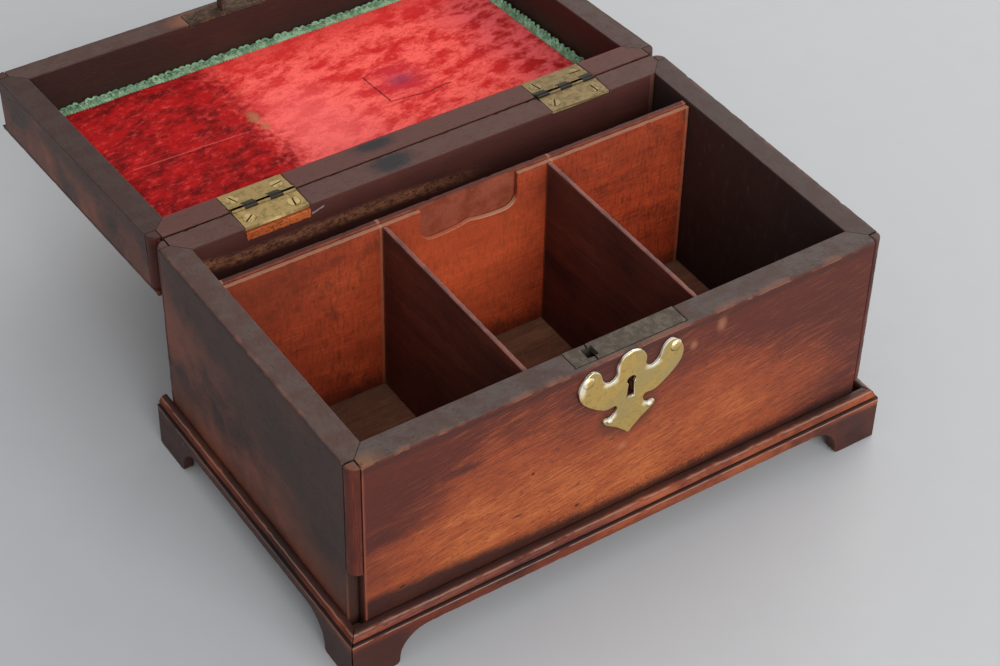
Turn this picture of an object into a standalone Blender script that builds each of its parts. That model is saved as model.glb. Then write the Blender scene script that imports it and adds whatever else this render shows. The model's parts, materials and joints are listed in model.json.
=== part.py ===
"""Mahogany tea caddy with a hinged lid, three tea compartments and a bracket-footed plinth.

Frame: +X to the right, +Y to the back, +Z up. The origin is on the floor, mid-width, halfway
between the front of the plinth and the far edge of the opened lid. The lid is modelled closed
on an empty at the hinge axis, and the empty then turns it to its open rest position.
"""
import math

import bmesh
import bpy
from mathutils import Matrix, Vector

MM = 0.001
GAP = 0.3 * MM
OVERCUT = 1 * MM

# Carcase
BODY_W = 254 * MM
BODY_D = 155 * MM
WALL = 11.5 * MM
FLOOR_Z = 20 * MM
RIM_Z = 109.5 * MM
BOTTOM_T = 4.5 * MM
BEAD_R = 4.8 * MM
REBATE = 5.2 * MM
BEAD_BREAK_LEFT = 52 * MM
BEAD_BREAK_RIGHT = 32 * MM

# Plinth, feet and moulding
PLINTH_FRONT = 6.5 * MM
PLINTH_SIDE = 5.2 * MM
PLINTH_BACK = 1.2 * MM
PLINTH_BACK_T = 7 * MM
PLINTH_TOP = 22.5 * MM
APRON_Z = 16.3 * MM
FOOT_W = 22 * MM
FOOT_ARC = 13.5 * MM
FOOT_TOE = 2.2 * MM
MOULD_H = 3.3 * MM
MOULD_TOP_OFFSET = 1.3 * MM
MOULD_QUIRK = 1.0 * MM

# Compartments
PARTITION_Y = 117.3 * MM
BOARD_T = 2.2 * MM
DIVIDER_DROP = 2.3 * MM
SLIDER_DROP = 1.4 * MM
MIDDLE_W = 79.4 * MM
NOTCH_HALF_W = 24 * MM
NOTCH_DEPTH = 16.8 * MM
NOTCH_CUSP = 1.9 * MM
NOTCH_R = 6.5 * MM
NOTCH_X = 1.0 * MM

# Lid
LID_H = 31 * MM
RIM_GAP = 0.4 * MM
LID_PANEL_T = 8 * MM
EDGE_BEAD_R = 4.2 * MM
EDGE_REBATE = 4.7 * MM
LINING_T = 1.2 * MM
BRAID_W = 5 * MM
BRAID_T = 1.6 * MM
LID_OPEN = math.radians(184.3)

# Hinges
PIN_BACK = 1.3 * MM
PIN_R = 0.7 * MM
BORE_R = 0.8 * MM
KNUCKLE_R = 1.5 * MM
KNUCKLES = 5
HINGE_X = 75.7 * MM
HINGE_L = 30 * MM
LEAF_T = 1.5 * MM
LEAF_REACH = 12.6 * MM
LEAF_SINK = 0.3 * MM
LEAF_EDGE = 0.5 * MM
SCREW_INSET = 4.6 * MM
SCREW_BACK = 7.4 * MM
KNUCKLE_ROOM = 0.2 * MM
PATCH_H = 4.2 * MM
PATCH_T = 3.9 * MM
PATCH_PROUD = 0.8 * MM

# Wood screws
HEAD_R = 2.8 * MM
SHANK_R = 1.2 * MM
SCREW_L = 8 * MM
SMALL_HEAD_R = 1.9 * MM
SMALL_SHANK_R = 0.9 * MM
SMALL_SCREW_L = 6 * MM
SCREW_SLOT_W = 0.7 * MM
SCREW_SLOT_D = 0.5 * MM
SCREW_ROOM = 0.2 * MM

# Lock, link plate and escutcheon
LOCK_X = 1.1 * MM
SELVEDGE_L = 52.7 * MM
SELVEDGE_T = 1.6 * MM
SELVEDGE_FRONT = 2.2 * MM
SELVEDGE_BACK = 0.5 * MM
CASE_HALF_W = 22 * MM
CASE_H = 27 * MM
CASE_WALL = 1.0 * MM
CASE_FRONT = 4.3 * MM
FLANGE_HALF_W = 26.2 * MM
FLANGE_H = 22 * MM
STAPLE_X = -15.5 * MM
STAPLE_Y = 7.3 * MM
STAPLE_W = 4.8 * MM
STAPLE_T = 1.8 * MM
STAPLE_L = 13.4 * MM
SLOT_W = 5.2 * MM
SLOT_D = 5.6 * MM
BOLT_DROP = 10.2 * MM
BOLT_H = 5.4 * MM
BOLT_T = 2.0 * MM
BOLT_L = 22 * MM
BOLT_NOSE_H = 2.6 * MM
BOLT_THROW = 5 * MM
BOLT_CLEAR = 0.8 * MM
NOSE_CLEAR = 3 * MM
STUD_R = 0.7 * MM
STUD_INSET = 5 * MM
STUD_TRACK_R = 1.0 * MM
TALON_X = 2.5 * MM
TALON_W = 4 * MM
TALON_H = 1.1 * MM
DRILL_PIN_R = 1.2 * MM
SPRING_L = 18 * MM
SPRING_T = 0.5 * MM
SPRING_W = 3 * MM
KEY_X = -0.6 * MM
KEY_DROP = 15.3 * MM
KEY_R = 2.1 * MM
KEY_SLOT_H = 9 * MM
KEY_SLOT_W = 3.8 * MM
LINK_L = 38 * MM
LINK_W = 8.6 * MM
LINK_SCREW_INSET = 4 * MM
STAPLE_ROOM = 0.5 * MM
ESCUTCHEON_T = 1.2 * MM

# Places worked out from the sizes above
LID_REACH = (PIN_BACK + BODY_D) * math.cos(LID_OPEN - math.pi)
HINGE_Y = (PIN_BACK + BODY_D + PLINTH_FRONT - LID_REACH) / 2
HINGE_Z = RIM_Z + RIM_GAP / 2
BACK_Y = HINGE_Y - PIN_BACK
FRONT_Y = BACK_Y - BODY_D
HALF_W = BODY_W / 2
LID_RIM_Z = RIM_Z + RIM_GAP
LID_TOP_Z = LID_RIM_Z + LID_H
STEPS = 24

BACK_TO_FRONT = Matrix.Rotation(math.pi / 2, 4, "X")
OUTWARD = {"front": (0, -1), "back": (0, 1), "left": (-1, 0), "right": (1, 0)}
FACE = {"front": -FRONT_Y, "back": BACK_Y, "left": HALF_W, "right": HALF_W}


# ---------------------------------------------------------------- tools

def clear_scene():
    """Empty the file's scene without closing the file."""
    for obj in list(bpy.data.objects):
        bpy.data.objects.remove(obj, do_unlink=True)
    for old in list(bpy.data.collections):
        bpy.data.collections.remove(old)


def new_collection(name):
    group = bpy.data.collections.new(name)
    bpy.context.scene.collection.children.link(group)
    return group


def new_material(name, colour, roughness, metallic=0.0):
    mat = bpy.data.materials.new(name)
    mat.use_nodes = True
    shader = mat.node_tree.nodes["Principled BSDF"]
    shader.inputs["Base Color"].default_value = (*colour, 1.0)
    shader.inputs["Roughness"].default_value = roughness
    shader.inputs["Metallic"].default_value = metallic
    return mat


def add_mesh(name, bm, matrix, mat):
    """Turn a bmesh into a named object of the caddy, placed by the matrix."""
    mesh = bpy.data.meshes.new(name)
    bm.to_mesh(mesh)
    bm.free()
    obj = bpy.data.objects.new(name, mesh)
    obj.matrix_basis = matrix
    PARTS.objects.link(obj)
    if mat:
        mesh.materials.append(mat)
    return obj


def add_box(name, low, high, mat=None):
    """A box between two corners, with its origin at its centre."""
    low, high = Vector(low), Vector(high)
    bm = bmesh.new()
    bmesh.ops.create_cube(bm, size=1.0)
    bmesh.ops.scale(bm, vec=high - low, verts=bm.verts)
    return add_mesh(name, bm, Matrix.Translation((low + high) / 2), mat)


def add_cylinder(name, radius, length, matrix, mat=None, steps=STEPS):
    """A cylinder along its own Z, centred on its origin."""
    bm = bmesh.new()
    bmesh.ops.create_cone(bm, cap_ends=True, segments=steps, radius1=radius, radius2=radius,
                          depth=length)
    obj = add_mesh(name, bm, matrix, mat)
    smooth(obj)
    return obj


def add_prism(name, outlines, thickness, matrix, mat=None):
    """A flat plate from closed outlines in its own XY plane; inner outlines are holes."""
    curve = bpy.data.curves.new(name, "CURVE")
    curve.dimensions = "2D"
    curve.fill_mode = "BOTH"
    curve.extrude = thickness / 2
    for outline in outlines:
        spline = curve.splines.new("POLY")
        spline.points.add(len(outline) - 1)
        spline.use_cyclic_u = True
        for point, (x, y) in zip(spline.points, outline):
            point.co = (x, y, 0, 1)
    flat = bpy.data.objects.new(name, curve)
    PARTS.objects.link(flat)
    bpy.context.view_layer.update()
    mesh = bpy.data.meshes.new_from_object(flat.evaluated_get(bpy.context.evaluated_depsgraph_get()))
    bpy.data.objects.remove(flat, do_unlink=True)
    bm = bmesh.new()
    bm.from_mesh(mesh)
    bmesh.ops.remove_doubles(bm, verts=bm.verts, dist=0.001 * MM)
    bmesh.ops.recalc_face_normals(bm, faces=bm.faces)
    bpy.data.meshes.remove(mesh)
    return add_mesh(name, bm, matrix, mat)


def add_turned(name, profile, matrix, mat=None, steps=STEPS):
    """A turned solid: the profile (radius, height) runs from its top to its bottom."""
    bm = bmesh.new()
    verts = [bm.verts.new((radius, 0, height)) for radius, height in profile]
    for upper, lower in zip(verts, verts[1:]):
        bm.edges.new((upper, lower))
    obj = add_mesh(name, bm, matrix, mat)
    turn = obj.modifiers.new("turn", "SCREW")
    turn.axis = "Z"
    turn.steps = steps
    turn.render_steps = steps
    turn.use_merge_vertices = True
    turn.merge_threshold = 0.002 * MM
    return obj


def smooth(obj):
    obj.data.shade_smooth()
    obj.data.set_sharp_from_angle(angle=math.radians(40))


def as_cutter(obj):
    """Move an object to the cutters, where it is drawn as a wire and never rendered."""
    PARTS.objects.unlink(obj)
    CUTTERS.objects.link(obj)
    obj.hide_render = True
    obj.display_type = "WIRE"
    return obj


def combine(target, tool, operation="DIFFERENCE"):
    """Cut a shape out of the target, or join one to it, keeping the tool editable."""
    if tool.name not in CUTTERS.objects:
        as_cutter(tool)
    step = target.modifiers.new(operation.lower(), "BOOLEAN")
    step.operation = operation
    step.solver = "EXACT"
    step.object = tool


def trim(obj, point, normal):
    """Cut away what lies on the normal's side of a plane and close the cut."""
    inverse = obj.matrix_basis.inverted()
    bm = bmesh.new()
    bm.from_mesh(obj.data)
    found = bmesh.ops.bisect_plane(
        bm, geom=bm.verts[:] + bm.edges[:] + bm.faces[:], dist=0.001 * MM,
        plane_co=inverse @ Vector(point), plane_no=(inverse.to_3x3() @ Vector(normal)).normalized(),
        clear_outer=True)
    rim = [item for item in found["geom_cut"] if isinstance(item, bmesh.types.BMEdge)]
    bmesh.ops.edgenet_fill(bm, edges=rim)
    bmesh.ops.dissolve_limit(bm, angle_limit=0.001, verts=bm.verts, edges=bm.edges)
    bmesh.ops.recalc_face_normals(bm, faces=bm.faces)
    bm.to_mesh(obj.data)
    bm.free()


def trim_mitre(obj, outer, inner, keep):
    """Mitre a piece along the upright plane through two plan points, on the side of keep."""
    outer, inner, keep = Vector((*outer, 0)), Vector((*inner, 0)), Vector((*keep, 0))
    along = (inner - outer).normalized()
    normal = Vector((along.y, -along.x, 0))
    if normal.dot(keep - outer) > 0:
        normal = -normal
    trim(obj, outer - normal * GAP / 2, normal)


def arc(centre, radius, start, end, count=8):
    """Points on an arc, angles in degrees; radius may be a pair for an ellipse."""
    rx, ry = radius if isinstance(radius, tuple) else (radius, radius)
    angles = [math.radians(start + (end - start) * i / count) for i in range(count + 1)]
    return [(centre[0] + rx * math.cos(a), centre[1] + ry * math.sin(a)) for a in angles]


def side_matrix(side, lift=0.0):
    """Local X points outward from the box's middle, local Y up, local Z along the side."""
    ox, oy = OUTWARD[side]
    reach = FACE[side]
    along = Vector((ox, oy, 0)).cross(Vector((0, 0, 1)))
    frame = Matrix(((ox, 0, along.x), (oy, 0, along.y), (0, 1, along.z))).to_4x4()
    return Matrix.Translation((ox * reach, oy * reach, lift)) @ frame


def corner(side_x, side_y, offset_x=0.0, offset_y=None):
    """A plan point at a corner of the carcase, moved outward by the offsets."""
    offset_y = offset_x if offset_y is None else offset_y
    x = OUTWARD[side_x][0] * (HALF_W + offset_x)
    y = OUTWARD[side_y][1] * (FACE[side_y] + offset_y)
    return x, y


def neighbours(side):
    return ("front", "back") if side in ("left", "right") else ("left", "right")


def mitre_ends(obj, side, offset_out, offset_in):
    """Mitre both ends of a piece of a square-cornered frame."""
    keep = (0, (FRONT_Y + BACK_Y) / 2) if side in ("left", "right") else (0, 0)
    middle = (OUTWARD[side][0] * HALF_W + keep[0], OUTWARD[side][1] * FACE[side] or keep[1])
    for other in neighbours(side):
        pair = (other, side) if side in ("front", "back") else (side, other)
        trim_mitre(obj, corner(*pair, offset_out), corner(*pair, offset_in), middle)


def side_length(side):
    return BODY_D if side in ("left", "right") else BODY_W


def centre_shift(side):
    """Side pieces are centred on the carcase's depth, which is not centred on the origin."""
    return Matrix.Translation((0, (FRONT_Y + BACK_Y) / 2 if side in ("left", "right") else 0, 0))


def add_frame_side(name, side, outline, mat, offset_out=0.0, offset_in=-WALL):
    """A length of moulding, bead or wall along one side, mitred at both ends."""
    length = side_length(side) + 2 * max(offset_out, 0.0) + 4 * OVERCUT
    obj = add_prism(name, [outline], length, centre_shift(side) @ side_matrix(side), mat)
    mitre_ends(obj, side, offset_out, offset_in)
    return obj


def hang(obj, parent):
    """Parent an object to the hinge empty, keeping it where it was modelled."""
    obj.parent = parent
    obj.matrix_parent_inverse = parent.matrix_basis.inverted()
    for step in obj.modifiers:
        if step.type == "BOOLEAN" and step.object.parent is None:
            hang(step.object, parent)


# ---------------------------------------------------------------- fasteners

def screw_profile(head_r, shank_r, length, grow=0.0):
    cone = head_r - shank_r
    return [(0, grow), (head_r + grow, grow), (head_r + grow, 0), (shank_r + grow, -cone),
            (shank_r + grow, -length + 2 * shank_r), (0, -length - grow)]


def add_screw(name, place, downward, targets, size, mat, slot_angle=0.0):
    """A slotted countersunk screw, and its hole in every piece that it passes through."""
    head_r, shank_r, length = size
    turn = Vector((0, 0, -1)).rotation_difference(Vector(downward)).to_matrix().to_4x4()
    matrix = Matrix.Translation(place) @ turn
    screw = add_turned(name, screw_profile(head_r, shank_r, length), matrix, mat, steps=16)
    slot = add_box(name + "_slot", (-head_r * 1.2, -SCREW_SLOT_W / 2, -SCREW_SLOT_D),
                   (head_r * 1.2, SCREW_SLOT_W / 2, SCREW_SLOT_D))
    slot.matrix_basis = matrix @ Matrix.Rotation(math.radians(slot_angle), 4, "Z")
    combine(screw, slot)
    hole = add_turned(name + "_hole", screw_profile(head_r, shank_r, length, SCREW_ROOM), matrix,
                      steps=16)
    for target in targets:
        combine(target, hole)
    return screw


# ---------------------------------------------------------------- carcase

def build_walls(mat):
    outline = [(-WALL, FLOOR_Z + GAP), (0, FLOOR_Z + GAP), (0, RIM_Z), (-WALL, RIM_Z)]
    return {side: add_frame_side(side + "_wall", side, outline, mat) for side in OUTWARD}


def corner_cutter(name, side_x, side_y, low, high):
    """The square rebate at an upright corner, open to both faces."""
    ix, iy = corner(side_x, side_y, -REBATE)
    ox, oy = corner(side_x, side_y, OVERCUT)
    return add_box(name, (min(ix, ox), min(iy, oy), low), (max(ix, ox), max(iy, oy), high))


def quarter_round(radius):
    return [(0, 0)] + arc((0, 0), radius, 0, 90, 8)


def add_corner_bead(name, side_x, side_y, low, high, mat):
    """A quarter-round bead standing in its corner rebate, flush with both faces."""
    x, y = corner(side_x, side_y, -BEAD_R)
    turn = {("right", "back"): 0, ("left", "back"): 90, ("left", "front"): 180,
            ("right", "front"): 270}[(side_x, side_y)]
    matrix = Matrix.Translation((x, y, (low + high) / 2)) @ Matrix.Rotation(math.radians(turn), 4, "Z")
    bead = add_prism(name, [quarter_round(BEAD_R)], high - low, matrix, mat)
    smooth(bead)
    return bead


def build_corner_beads(walls, mat):
    """Corner beads; both front ones have lost their lower ends to breakage."""
    starts = {("left", "front"): BEAD_BREAK_LEFT, ("right", "front"): BEAD_BREAK_RIGHT}
    for side_y in ("front", "back"):
        for side_x in ("left", "right"):
            tag = side_y + "_" + side_x
            cutter = corner_cutter("rebate_" + tag, side_x, side_y, FLOOR_Z - OVERCUT,
                                   RIM_Z + OVERCUT)
            combine(walls[side_x], cutter)
            combine(walls[side_y], cutter)
            low = starts.get((side_x, side_y), FLOOR_Z + GAP)
            add_corner_bead("corner_bead_" + tag, side_x, side_y, low, RIM_Z, mat)


def build_bottom(mat):
    """The bottom board, let in behind the back plinth board and nailed under the walls."""
    back = BACK_Y + PLINTH_BACK - PLINTH_BACK_T - GAP
    return add_box("bottom_board", (-HALF_W, FRONT_Y, FLOOR_Z - BOTTOM_T), (HALF_W, back, FLOOR_Z),
                   mat)


# ---------------------------------------------------------------- plinth

def bracket_outline(start, end, top):
    """A plinth board's face: straight top, and a bracket foot cut at each end."""
    def foot(outer, direction):
        inner = outer + direction * FOOT_W
        toe = inner - direction * FOOT_TOE
        rise = APRON_Z - FOOT_ARC
        heel = [(toe + direction * FOOT_TOE * math.sin(math.radians(a)),
                 FOOT_TOE * (1 - math.cos(math.radians(a)))) for a in (0, 30, 60, 90)]
        bend = [(inner + direction * FOOT_ARC * (1 - math.cos(math.radians(a))),
                 rise + FOOT_ARC * math.sin(math.radians(a))) for a in range(0, 91, 10)]
        return [(outer, 0)] + heel + bend
    return foot(start, 1) + list(reversed(foot(end, -1))) + [(end, top), (start, top)]


def build_plinth(mat):
    """Front and side boards stand on the carcase's faces; the back board stands beneath it."""
    front_face = FRONT_Y - PLINTH_FRONT
    side_face = HALF_W + PLINTH_SIDE
    thick = PLINTH_FRONT - GAP
    board = add_prism("plinth_front", [bracket_outline(-side_face, side_face, PLINTH_TOP)], thick,
                      Matrix.Translation((0, front_face + thick / 2, 0)) @ BACK_TO_FRONT, mat)
    for side in ("left", "right"):
        outer = corner(side, "front", PLINTH_SIDE, PLINTH_FRONT)
        trim_mitre(board, outer, corner(side, "front", GAP), (0, front_face))
    rear = BACK_Y + PLINTH_BACK
    thick = PLINTH_SIDE - GAP
    for side in ("left", "right"):
        sign = OUTWARD[side][0]
        place = Matrix.Translation((sign * (side_face - thick / 2), 0, 0))
        turn = Matrix.Rotation(math.pi / 2, 4, "Z") @ BACK_TO_FRONT
        outline = bracket_outline(front_face, rear, PLINTH_TOP)
        board = add_prism("plinth_" + side, [outline], thick, place @ turn, mat)
        outer = corner(side, "front", PLINTH_SIDE, PLINTH_FRONT)
        trim_mitre(board, outer, corner(side, "front", GAP), (sign * side_face, 0))
    place = Matrix.Translation((0, rear - PLINTH_BACK_T / 2, 0))
    outline = bracket_outline(-HALF_W, HALF_W, FLOOR_Z)
    add_prism("plinth_back", [outline], PLINTH_BACK_T, place @ BACK_TO_FRONT, mat)


def build_mouldings(mat):
    """An ovolo on top of the front and side plinth boards, mitred at the front corners."""
    low = PLINTH_TOP + GAP
    for side, overhang in (("front", PLINTH_FRONT), ("left", PLINTH_SIDE), ("right", PLINTH_SIDE)):
        base = overhang - MOULD_QUIRK
        curve = arc((MOULD_TOP_OFFSET, low), (base - MOULD_TOP_OFFSET, MOULD_H), 0, 90, 8)
        outline = [(GAP, low)] + curve + [(GAP, low + MOULD_H)]
        length = side_length(side) + 4 * PLINTH_FRONT
        strip = add_prism("plinth_moulding_" + side, [outline], length,
                          centre_shift(side) @ side_matrix(side), mat)
        for other in ("left", "right") if side == "front" else (side,):
            outer = corner(other, "front", PLINTH_SIDE - MOULD_QUIRK, PLINTH_FRONT - MOULD_QUIRK)
            keep = (0, FRONT_Y) if side == "front" else (OUTWARD[side][0] * HALF_W, 0)
            trim_mitre(strip, outer, corner(other, "front", GAP), keep)
        if side != "front":
            trim(strip, (0, BACK_Y + PLINTH_BACK, 0), (0, 1, 0))
        smooth(strip)


# ---------------------------------------------------------------- compartments

def notch_outline(top):
    """The finger notch from left to right: a cupid's bow between two rounded ends."""
    low = top - NOTCH_DEPTH
    lobe = NOTCH_HALF_W - NOTCH_R
    left = [(-NOTCH_HALF_W, top)] + arc((-lobe, low + NOTCH_R), NOTCH_R, 180, 270, 8)
    bow = [(-lobe * (1 - t), low + NOTCH_CUSP * t ** 2.5) for t in (0.3, 0.55, 0.75, 0.9, 1.0)]
    half = left + bow
    full = half + [(-x, z) for x, z in reversed(half[:-1])]
    return [(x + NOTCH_X, z) for x, z in full]


def build_partitions(mat, mat_dark):
    """The fixed notched board, the loose board behind it that is pinched through the notch
    and slid up, and the two cross dividers."""
    half = HALF_W - WALL - GAP
    top = RIM_Z - DIVIDER_DROP
    outline = [(half, FLOOR_Z + GAP), (half, top)] + list(reversed(notch_outline(top)))
    outline += [(-half, top), (-half, FLOOR_Z + GAP)]
    y = FRONT_Y + PARTITION_Y
    place = Matrix.Translation((0, y + BOARD_T / 2, 0))
    add_prism("notched_partition", [outline], BOARD_T, place @ BACK_TO_FRONT, mat)
    y_back = y + BOARD_T + GAP
    add_box("sliding_partition", (-half, y_back, FLOOR_Z + GAP),
            (half, y_back + BOARD_T, RIM_Z - SLIDER_DROP), mat)
    for side in ("left", "right"):
        sign = OUTWARD[side][0]
        near = sign * MIDDLE_W / 2
        far = near + sign * BOARD_T
        add_box("cross_divider_" + side, (min(near, far), FRONT_Y + WALL + GAP, FLOOR_Z + GAP),
                (max(near, far), y - GAP, top), mat_dark)


# ---------------------------------------------------------------- lid

def build_lid_walls(mat):
    outline = [(-WALL, LID_RIM_Z), (0, LID_RIM_Z), (0, LID_TOP_Z - EDGE_REBATE),
               (-EDGE_REBATE, LID_TOP_Z - EDGE_REBATE), (-EDGE_REBATE, LID_TOP_Z),
               (-WALL, LID_TOP_Z)]
    return {side: add_frame_side("lid_" + side + "_wall", side, outline, mat) for side in OUTWARD}


def build_lid_beads(walls, mat):
    """Quarter-round beads: four upright at the corners and four round the top edge."""
    seat = LID_TOP_Z - EDGE_REBATE
    beads = []
    for side_y in ("front", "back"):
        for side_x in ("left", "right"):
            tag = side_y + "_" + side_x
            cutter = corner_cutter("lid_rebate_" + tag, side_x, side_y, LID_RIM_Z - OVERCUT,
                                   seat + OVERCUT)
            combine(walls[side_x], cutter)
            combine(walls[side_y], cutter)
            beads.append(add_corner_bead("lid_corner_bead_" + tag, side_x, side_y, LID_RIM_Z,
                                         seat, mat))
    centre = LID_TOP_Z - EDGE_BEAD_R
    outline = [(-EDGE_BEAD_R, centre)] + arc((-EDGE_BEAD_R, centre), EDGE_BEAD_R, 0, 90, 8)
    for side in OUTWARD:
        bead = add_frame_side("lid_edge_bead_" + side, side, outline, mat, 0.0, -EDGE_BEAD_R)
        smooth(bead)
        beads.append(bead)
    return beads


def build_lid_inside(mat_wood, mat_velvet, mat_braid):
    """The top panel between the walls, its velvet, and the braid that covers the velvet's edge."""
    half = HALF_W - WALL - GAP
    low_y, high_y = FRONT_Y + WALL + GAP, BACK_Y - WALL - GAP
    under = LID_TOP_Z - LID_PANEL_T
    panel = add_box("lid_top_panel", (-half, low_y, under), (half, high_y, LID_TOP_Z), mat_wood)
    top = under - GAP
    edge = BRAID_W + GAP
    velvet = add_box("velvet_lining", (-half + edge, low_y + edge, top - LINING_T),
                     (half - edge, high_y - edge, top), mat_velvet)
    mid_y = (low_y + high_y) / 2
    deep = (high_y - low_y) / 2
    outer = [(-half, -deep), (half, -deep), (half, deep), (-half, deep)]
    inner = [(x - math.copysign(BRAID_W, x), y - math.copysign(BRAID_W, y)) for x, y in outer]
    braid = add_prism("lining_braid", [outer, inner], BRAID_T,
                      Matrix.Translation((0, mid_y, top - BRAID_T / 2)), mat_braid)
    return [panel, velvet, braid]


# ---------------------------------------------------------------- hinges

def add_leaf(name, hinge_x, lid_side, own, mat):
    """One leaf of a butt hinge: a plate with its share of the five knuckles."""
    knuckle_l = HINGE_L / KNUCKLES
    sign = 1 if lid_side else -1
    near, far = HINGE_Z + sign * LEAF_SINK, HINGE_Z + sign * (LEAF_SINK + LEAF_T)
    leaf = add_box(name, (hinge_x - HINGE_L / 2, HINGE_Y - LEAF_REACH, min(near, far)),
                   (hinge_x + HINGE_L / 2, HINGE_Y - LEAF_EDGE, max(near, far)), mat)
    turn = Matrix.Rotation(math.pi / 2, 4, "Y")
    for index in range(KNUCKLES):
        x = hinge_x - HINGE_L / 2 + knuckle_l * (index + 0.5)
        axis = Matrix.Translation((x, HINGE_Y, HINGE_Z)) @ turn
        if index % 2 == own:
            knuckle = add_cylinder(name + f"_knuckle_{index}", KNUCKLE_R, knuckle_l - KNUCKLE_ROOM,
                                   axis)
            combine(leaf, knuckle, "UNION")
        else:
            room = add_cylinder(name + f"_room_{index}", KNUCKLE_R + GAP, knuckle_l + KNUCKLE_ROOM,
                                axis)
            combine(leaf, room)
    axis = Matrix.Translation((hinge_x, HINGE_Y, HINGE_Z)) @ turn
    combine(leaf, add_cylinder(name + "_bore", BORE_R, HINGE_L + 2 * OVERCUT, axis))
    return leaf


def leaf_seat(name, hinge_x, lid_side, wall):
    """The shallow housing for a leaf, and the round channel that clears the knuckles."""
    sign = 1 if lid_side else -1
    deep, clear = HINGE_Z + sign * (LEAF_SINK + LEAF_T + GAP), HINGE_Z - sign * OVERCUT
    half = HINGE_L / 2 + GAP
    seat = add_box(name + "_seat", (hinge_x - half, BACK_Y - WALL - OVERCUT, min(deep, clear)),
                   (hinge_x + half, BACK_Y + 2 * OVERCUT, max(deep, clear)))
    combine(wall, seat)
    axis = Matrix.Translation((hinge_x, HINGE_Y, HINGE_Z)) @ Matrix.Rotation(math.pi / 2, 4, "Y")
    combine(wall, add_cylinder(name + "_channel", KNUCKLE_R + 2 * GAP, 2 * half, axis))


def build_hinge(side, back_wall, lid_back_wall, brass, steel):
    """A butt hinge let into both back walls; the left and right hinges are mirror images."""
    x = OUTWARD[side][0] * HINGE_X
    size = (HEAD_R, SHANK_R, SCREW_L)
    lid_pieces = []
    angles = iter((35, 80, 20, 100) if side == "left" else (60, 95, 10, 85))
    for half, wall in (("body", back_wall), ("lid", lid_back_wall)):
        on_lid = half == "lid"
        name = f"hinge_{side}_{half}_leaf"
        leaf = add_leaf(name, x, on_lid, int(on_lid) if side == "left" else int(not on_lid), brass)
        leaf_seat(name, x, on_lid, wall)
        sign = 1 if on_lid else -1
        for index, shift in enumerate((-1, 1)):
            place = (x + shift * (HINGE_L / 2 - SCREW_INSET), HINGE_Y - SCREW_BACK,
                     HINGE_Z + sign * LEAF_SINK)
            screw = add_screw(f"hinge_{side}_{half}_screw_{index + 1}", place, (0, 0, sign),
                              [leaf, wall], size, brass, next(angles))
            if on_lid:
                lid_pieces.append(screw)
        if on_lid:
            lid_pieces.append(leaf)
    axis = Matrix.Translation((x, HINGE_Y, HINGE_Z)) @ Matrix.Rotation(math.pi / 2, 4, "Y")
    add_cylinder(f"hinge_{side}_pin", PIN_R, HINGE_L, axis, steel)
    return lid_pieces


def build_hinge_patch(back_wall, mat):
    """A strip of newer wood let into the back wall under the left hinge."""
    x = -HINGE_X
    top = HINGE_Z - LEAF_SINK - LEAF_T - 2 * GAP
    inside = BACK_Y - WALL
    low = Vector((x - HINGE_L / 2, inside - PATCH_PROUD, top - PATCH_H))
    high = Vector((x + HINGE_L / 2, low.y + PATCH_T, top))
    patch = add_box("hinge_patch", low, high, mat)
    combine(back_wall, add_box("hinge_patch_room", low - Vector((GAP, OVERCUT, GAP)),
                               high + Vector((GAP, GAP, OVERCUT))))
    return patch


# ---------------------------------------------------------------- lock

def keyhole_outline(radius, slot_h, slot_w):
    """Round top with a slot that widens slightly downward, centred on the round's centre."""
    waist = math.degrees(math.acos(-0.6))
    half = [(0.5 * slot_w, -slot_h)] + arc((0, 0), radius, waist - 180, 90, 8)
    return half + [(-x, z) for x, z in reversed(half[:-1])]


def add_keyhole_cutter(name, grow, low_y, high_y):
    outline = keyhole_outline(KEY_R + grow, KEY_SLOT_H + grow, KEY_SLOT_W + 2 * grow)
    place = Matrix.Translation((KEY_X, (low_y + high_y) / 2, RIM_Z - KEY_DROP))
    return add_prism(name, [outline], high_y - low_y, place @ BACK_TO_FRONT)


def build_lock_case(case_top, brass):
    """The box lock's case: a flanged tray against the wood, open on its hidden front."""
    inside = FRONT_Y + WALL - GAP
    left, right = LOCK_X - CASE_HALF_W, LOCK_X + CASE_HALF_W
    case = add_box("lock_case", (left, FRONT_Y + CASE_FRONT, case_top - CASE_H),
                   (right, inside, case_top), brass)
    combine(case, add_box("lock_flange",
                          (LOCK_X - FLANGE_HALF_W, inside - CASE_WALL, case_top - FLANGE_H),
                          (LOCK_X + FLANGE_HALF_W, inside, case_top)), "UNION")
    combine(case, add_box("case_hollow",
                          (left + CASE_WALL, FRONT_Y + CASE_FRONT - OVERCUT,
                           case_top - CASE_H + CASE_WALL),
                          (right - CASE_WALL, inside - CASE_WALL, case_top - CASE_WALL)))
    return case


def build_lock_posts(case, bolt_z):
    """The drill pin that the key turns on, and the stud that guides the bolt."""
    back = FRONT_Y + WALL - GAP - CASE_WALL / 2
    length = back - (FRONT_Y + CASE_FRONT + OVERCUT)
    stud_x = STAPLE_X + BOLT_L - STUD_INSET
    for name, radius, x, z in (("drill_pin", DRILL_PIN_R, KEY_X, RIM_Z - KEY_DROP),
                               ("bolt_stud", STUD_R, stud_x, bolt_z)):
        place = Matrix.Translation((x, back - length / 2, z)) @ BACK_TO_FRONT
        combine(case, add_cylinder(name, radius, length, place, steps=12), "UNION")


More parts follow.
